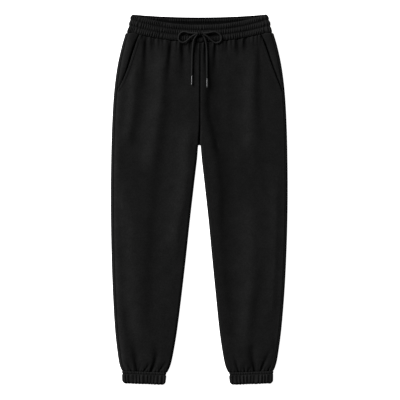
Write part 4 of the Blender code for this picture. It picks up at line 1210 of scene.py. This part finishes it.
def band_line(which):
    around = around_ring(BAND_STITCHES)
    x, _, _, _, up = band_place(around, 0.0, BAND_BASE)
    share = band_lines(x, up)[which]
    x, down, _, _, up = band_place(around, share, BAND_BASE)
    return band_place(around, share, BAND_BASE - band_relief(around, share, x, up, down))


def cuff_line(side):
    around = around_ring(CUFF_STITCHES)
    share = np.full_like(around, CUFF_LINE)
    return cuff_place(side, around, share, CUFF_BASE - cuff_relief(side, around, share))


# ---------------------------------------------------------------- finishes
def grey(tone):
    return (tone, tone, tone)


class Nodes:
    """A material's nodes, with short words for adding and joining them."""

    def __init__(self, name, **shader_values):
        self.material = bpy.data.materials.new(name)
        self.material.use_nodes = True
        self.tree = self.material.node_tree
        self.shader = self.tree.nodes["Principled BSDF"]
        self.feed(self.shader, **shader_values)
        self.place = self.add("ShaderNodeTexCoord").outputs["Object"]

    def feed(self, node, **inputs):
        """Sets a node's inputs, or joins them to other nodes' outputs. Spaces in names are given as _."""
        for name, value in inputs.items():
            socket = node.inputs[name.replace("_", " ")]
            if isinstance(value, bpy.types.NodeSocket):
                self.tree.links.new(value, socket)
            else:
                socket.default_value = value

    def add(self, kind, settings=(), **inputs):
        node = self.tree.nodes.new(kind)
        for name, value in dict(settings).items():
            setattr(node, name, value)
        self.feed(node, **inputs)
        return node

    def noise(self, scale, detail=3.0, roughness=0.55):
        values = {"Scale": scale, "Detail": detail, "Roughness": roughness}
        return self.add("ShaderNodeTexNoise", Vector=self.place, **values).outputs["Fac"]

    def ramp(self, value, low, high, dark, light):
        """A colour from dark to light as a value goes from low to high."""
        made = self.add("ShaderNodeValToRGB", Fac=value)
        for element, position, tone in zip(made.color_ramp.elements, (low, high), (dark, light)):
            element.position, element.color = position, (*tone, 1)
        return made.outputs["Color"]

    def multiplied(self, first, second):
        settings = {"data_type": "RGBA", "blend_type": "MULTIPLY"}
        return self.add("ShaderNodeMix", settings, Factor=1.0, A=first, B=second).outputs["Result"]

    def bump(self, height, strength, distance, **under):
        made = self.add("ShaderNodeBump", Strength=strength, Distance=distance, Height=height, **under)
        return made.outputs["Normal"]

    def finish(self, **inputs):
        self.feed(self.shader, **inputs)
        return self.material


def fleece_finish(name, dark, light, rub=PAINTED_CONTRAST):
    """Brushed cotton fleece: short raised fibres, slightly clouded and dull. A per-point attribute adds
    painted
    light and shade: lighter crests and lit sides, darker hollows and shaded sides.
    """
    nodes = Nodes(name, Roughness=1.0, Specular_IOR_Level=0.02)
    clouds = nodes.ramp(nodes.noise(34, 5, 0.6), 0.3, 0.7, grey(dark), grey(light))
    pile = nodes.ramp(nodes.noise(230, 3, 0.6), 0.25, 0.75, grey(0.8), grey(1.2))
    fibres = nodes.ramp(nodes.noise(900, 2), 0.25, 0.75, grey(0.7), grey(1.32))
    # painted light and shade: the stored attribute, from -1 to 1, darkens or lightens the tone
    painted_shading = nodes.add("ShaderNodeAttribute", {"attribute_name": "painted_shading"}).outputs["Fac"]
    half = nodes.add("ShaderNodeMath", {"operation": "MULTIPLY_ADD"})
    half.inputs[1].default_value = half.inputs[2].default_value = 0.5
    nodes.tree.links.new(painted_shading, half.inputs[0])
    rubbed = nodes.ramp(half.outputs["Value"], 0.0, 1.0, grey(1 - rub), grey(1 + rub))
    tone = nodes.multiplied(nodes.multiplied(nodes.multiplied(clouds, pile), fibres), rubbed)
    nap = nodes.bump(nodes.noise(700, 3), 0.5, 0.0006)
    return nodes.finish(Base_Color=tone, Normal=nodes.bump(nodes.noise(2600, 2), 0.35, 0.0003, Normal=nap))


def cord_finish(name, dark, light):
    nodes = Nodes(name, Roughness=0.75, Specular_IOR_Level=0.06)
    yarn = nodes.ramp(nodes.noise(1400, 2), 0.3, 0.7, grey(dark), grey(light))
    return nodes.finish(Base_Color=yarn, Normal=nodes.bump(nodes.noise(2200, 2), 0.5, 0.0003))


def steel_finish(name):
    nodes = Nodes(name, Metallic=1.0)
    tone = nodes.ramp(nodes.noise(500, 3), 0.3, 0.7, (0.2, 0.2, 0.203), (0.25, 0.25, 0.254))
    wear = nodes.ramp(nodes.noise(1500, 3), 0.3, 0.7, grey(0.46), grey(0.52))
    brushed = nodes.bump(nodes.noise(3000, 2), 0.05, 0.0001)
    return nodes.finish(Base_Color=tone, Roughness=wear, Normal=brushed)


def floor_finish(name):
    glow = {"Emission_Color": (1, 1, 1, 1), "Emission_Strength": FLOOR_GLOW}
    nodes = Nodes(name, Roughness=0.9, Specular_IOR_Level=0.1, **glow)
    return nodes.finish(Base_Color=nodes.ramp(nodes.noise(3, 2), 0.3, 0.7, grey(0.79), grey(0.81)))


# ---------------------------------------------------------------- studio
def camera():
    data = bpy.data.cameras.new("camera")
    data.sensor_width = SENSOR
    data.lens = SENSOR * (CAMERA_HEIGHT - BAND_LOFT / 2 * MM) / FRAME_WIDTH
    made = bpy.data.objects.new("camera", data)
    made.location = (*CAMERA_AT, CAMERA_HEIGHT)
    bpy.context.scene.collection.objects.link(made)
    bpy.context.scene.camera = made


def softbox(name, at, size, power):
    """A square light that faces the middle of the garment."""
    data = bpy.data.lights.new(name, "AREA")
    data.shape, data.size, data.energy = "SQUARE", size, power
    made = bpy.data.objects.new(name, data)
    made.location = at
    made.rotation_mode = "QUATERNION"
    made.rotation_quaternion = (-Vector(at)).to_track_quat("-Z", "Y")
    bpy.context.scene.collection.objects.link(made)


def studio():
    camera()
    settings = {"size": FLOOR_SIZE, "location": (0, 0, -FLOOR_BELOW)}
    floor = started("floor", bpy.ops.mesh.primitive_plane_add, **settings)
    floor.data.materials.append(floor_finish("pale_floor"))
    floor.visible_diffuse = False
    softbox("key_softbox", KEY_AT, KEY_SIZE, KEY_POWER)
    world = bpy.data.worlds.new("studio_air")
    world.use_nodes = True
    air = world.node_tree.nodes["Background"].inputs
    air["Color"].default_value, air["Strength"].default_value = (1, 1, 1, 1), AIR_LIGHT
    bpy.context.scene.world = world
    bpy.context.scene.view_settings.view_transform = "Standard"
    bpy.context.scene.view_settings.gamma = PRINT_GAMMA


# ---------------------------------------------------------------- the whole
def drawstring(cord, knotted, steel):
    wraps = knot(knotted)
    for side in (-1, 1):
        made, line = cord_half(side, cord)
        tip = aglet(WORD[side], line, steel)
        path = in_metres(*line.T)


def garment():
    fleece = fleece_finish("black_fleece", 0.018, 0.0226)
    # the last number sets how strong the painted light and shade of each band is
    hem_rib = fleece_finish("black_fleece_cuff", 0.0195, 0.024, 0.4)
    rib = fleece_finish("black_fleece_band", 0.0158, 0.0197, 0.5)
    cord, thread = cord_finish("black_cord", 0.025, 0.036), cord_finish("black_thread", 0.016, 0.022)
    steel = steel_finish("aglet_steel")
    # painted shade: the knot's cord is a darker copy of the cord's finish
    drawstring(cord, cord_finish("black_knotted_cord_painted_shade", 0.013, 0.019), steel)
    # painted shade: a darker copy of the fleece for the insides of the bands, which lie in shade
    inside = fleece_finish("black_band_inside_painted_shade", 0.0065, 0.0105, 0.7)
    # painted shade: a near-black copy for the back half's rim, shaded by the front's edge
    rim = fleece_finish("black_band_rim_painted_shade", 0.0024, 0.004, 0.7)
    # painted shadow: a near-black finish for the centre seam's join, in the seam's groove
    dark = fleece_finish("black_seam_join_painted_shadow", 0.001, 0.002)
    band = waistband(rib, inside, rim)
    rows = [ring_stitches(f"band_stitches_{k + 1}", band_line(k), thread) for k in (0, 1)]
    eyelets = [eyelet(side, thread) for side in (-1, 1)]
    allowance, join = centre_allowance(fleece), centre_thread(dark)
    seams = (WAIST_SEAM, CROTCH, CUFF_SEAM)
    start, end = WAIST_SEAM - TUCK_DEEP, CUFF_SEAM + TUCK_DEEP
    back_rows = crowded(start, end, BACK_ROWS, seams, 12.0, 1.4)
    front_rows = crowded(start, end, FRONT_ROWS, seams, 12.0, 1.6)
    facing_rows = crowded(start + 0.8, FACING_END, FACING_ROWS, (WAIST_SEAM,), 10.0, 1.0)
    for side in (1, -1):
        back = panel("back", side, fleece, back_rows, back_places, back_face, back_painted_shading)
        facing = panel("pocket_facing", side, fleece, facing_rows, facing_places, facing_face, facing_painted_shading)
        front = panel("front", side, fleece, front_rows, front_places, front_face, front_painted_shading)
        hem = cuff(side, hem_rib, inside)
        sewn = [*pocket_stitches(side, thread), bar_tack(side, thread)]
        hem_sewn = ring_stitches(f"cuff_stitches_{WORD[side]}", cuff_line(side), thread)


studio()
STITCH_SHAPE = one_stitch()
garment()
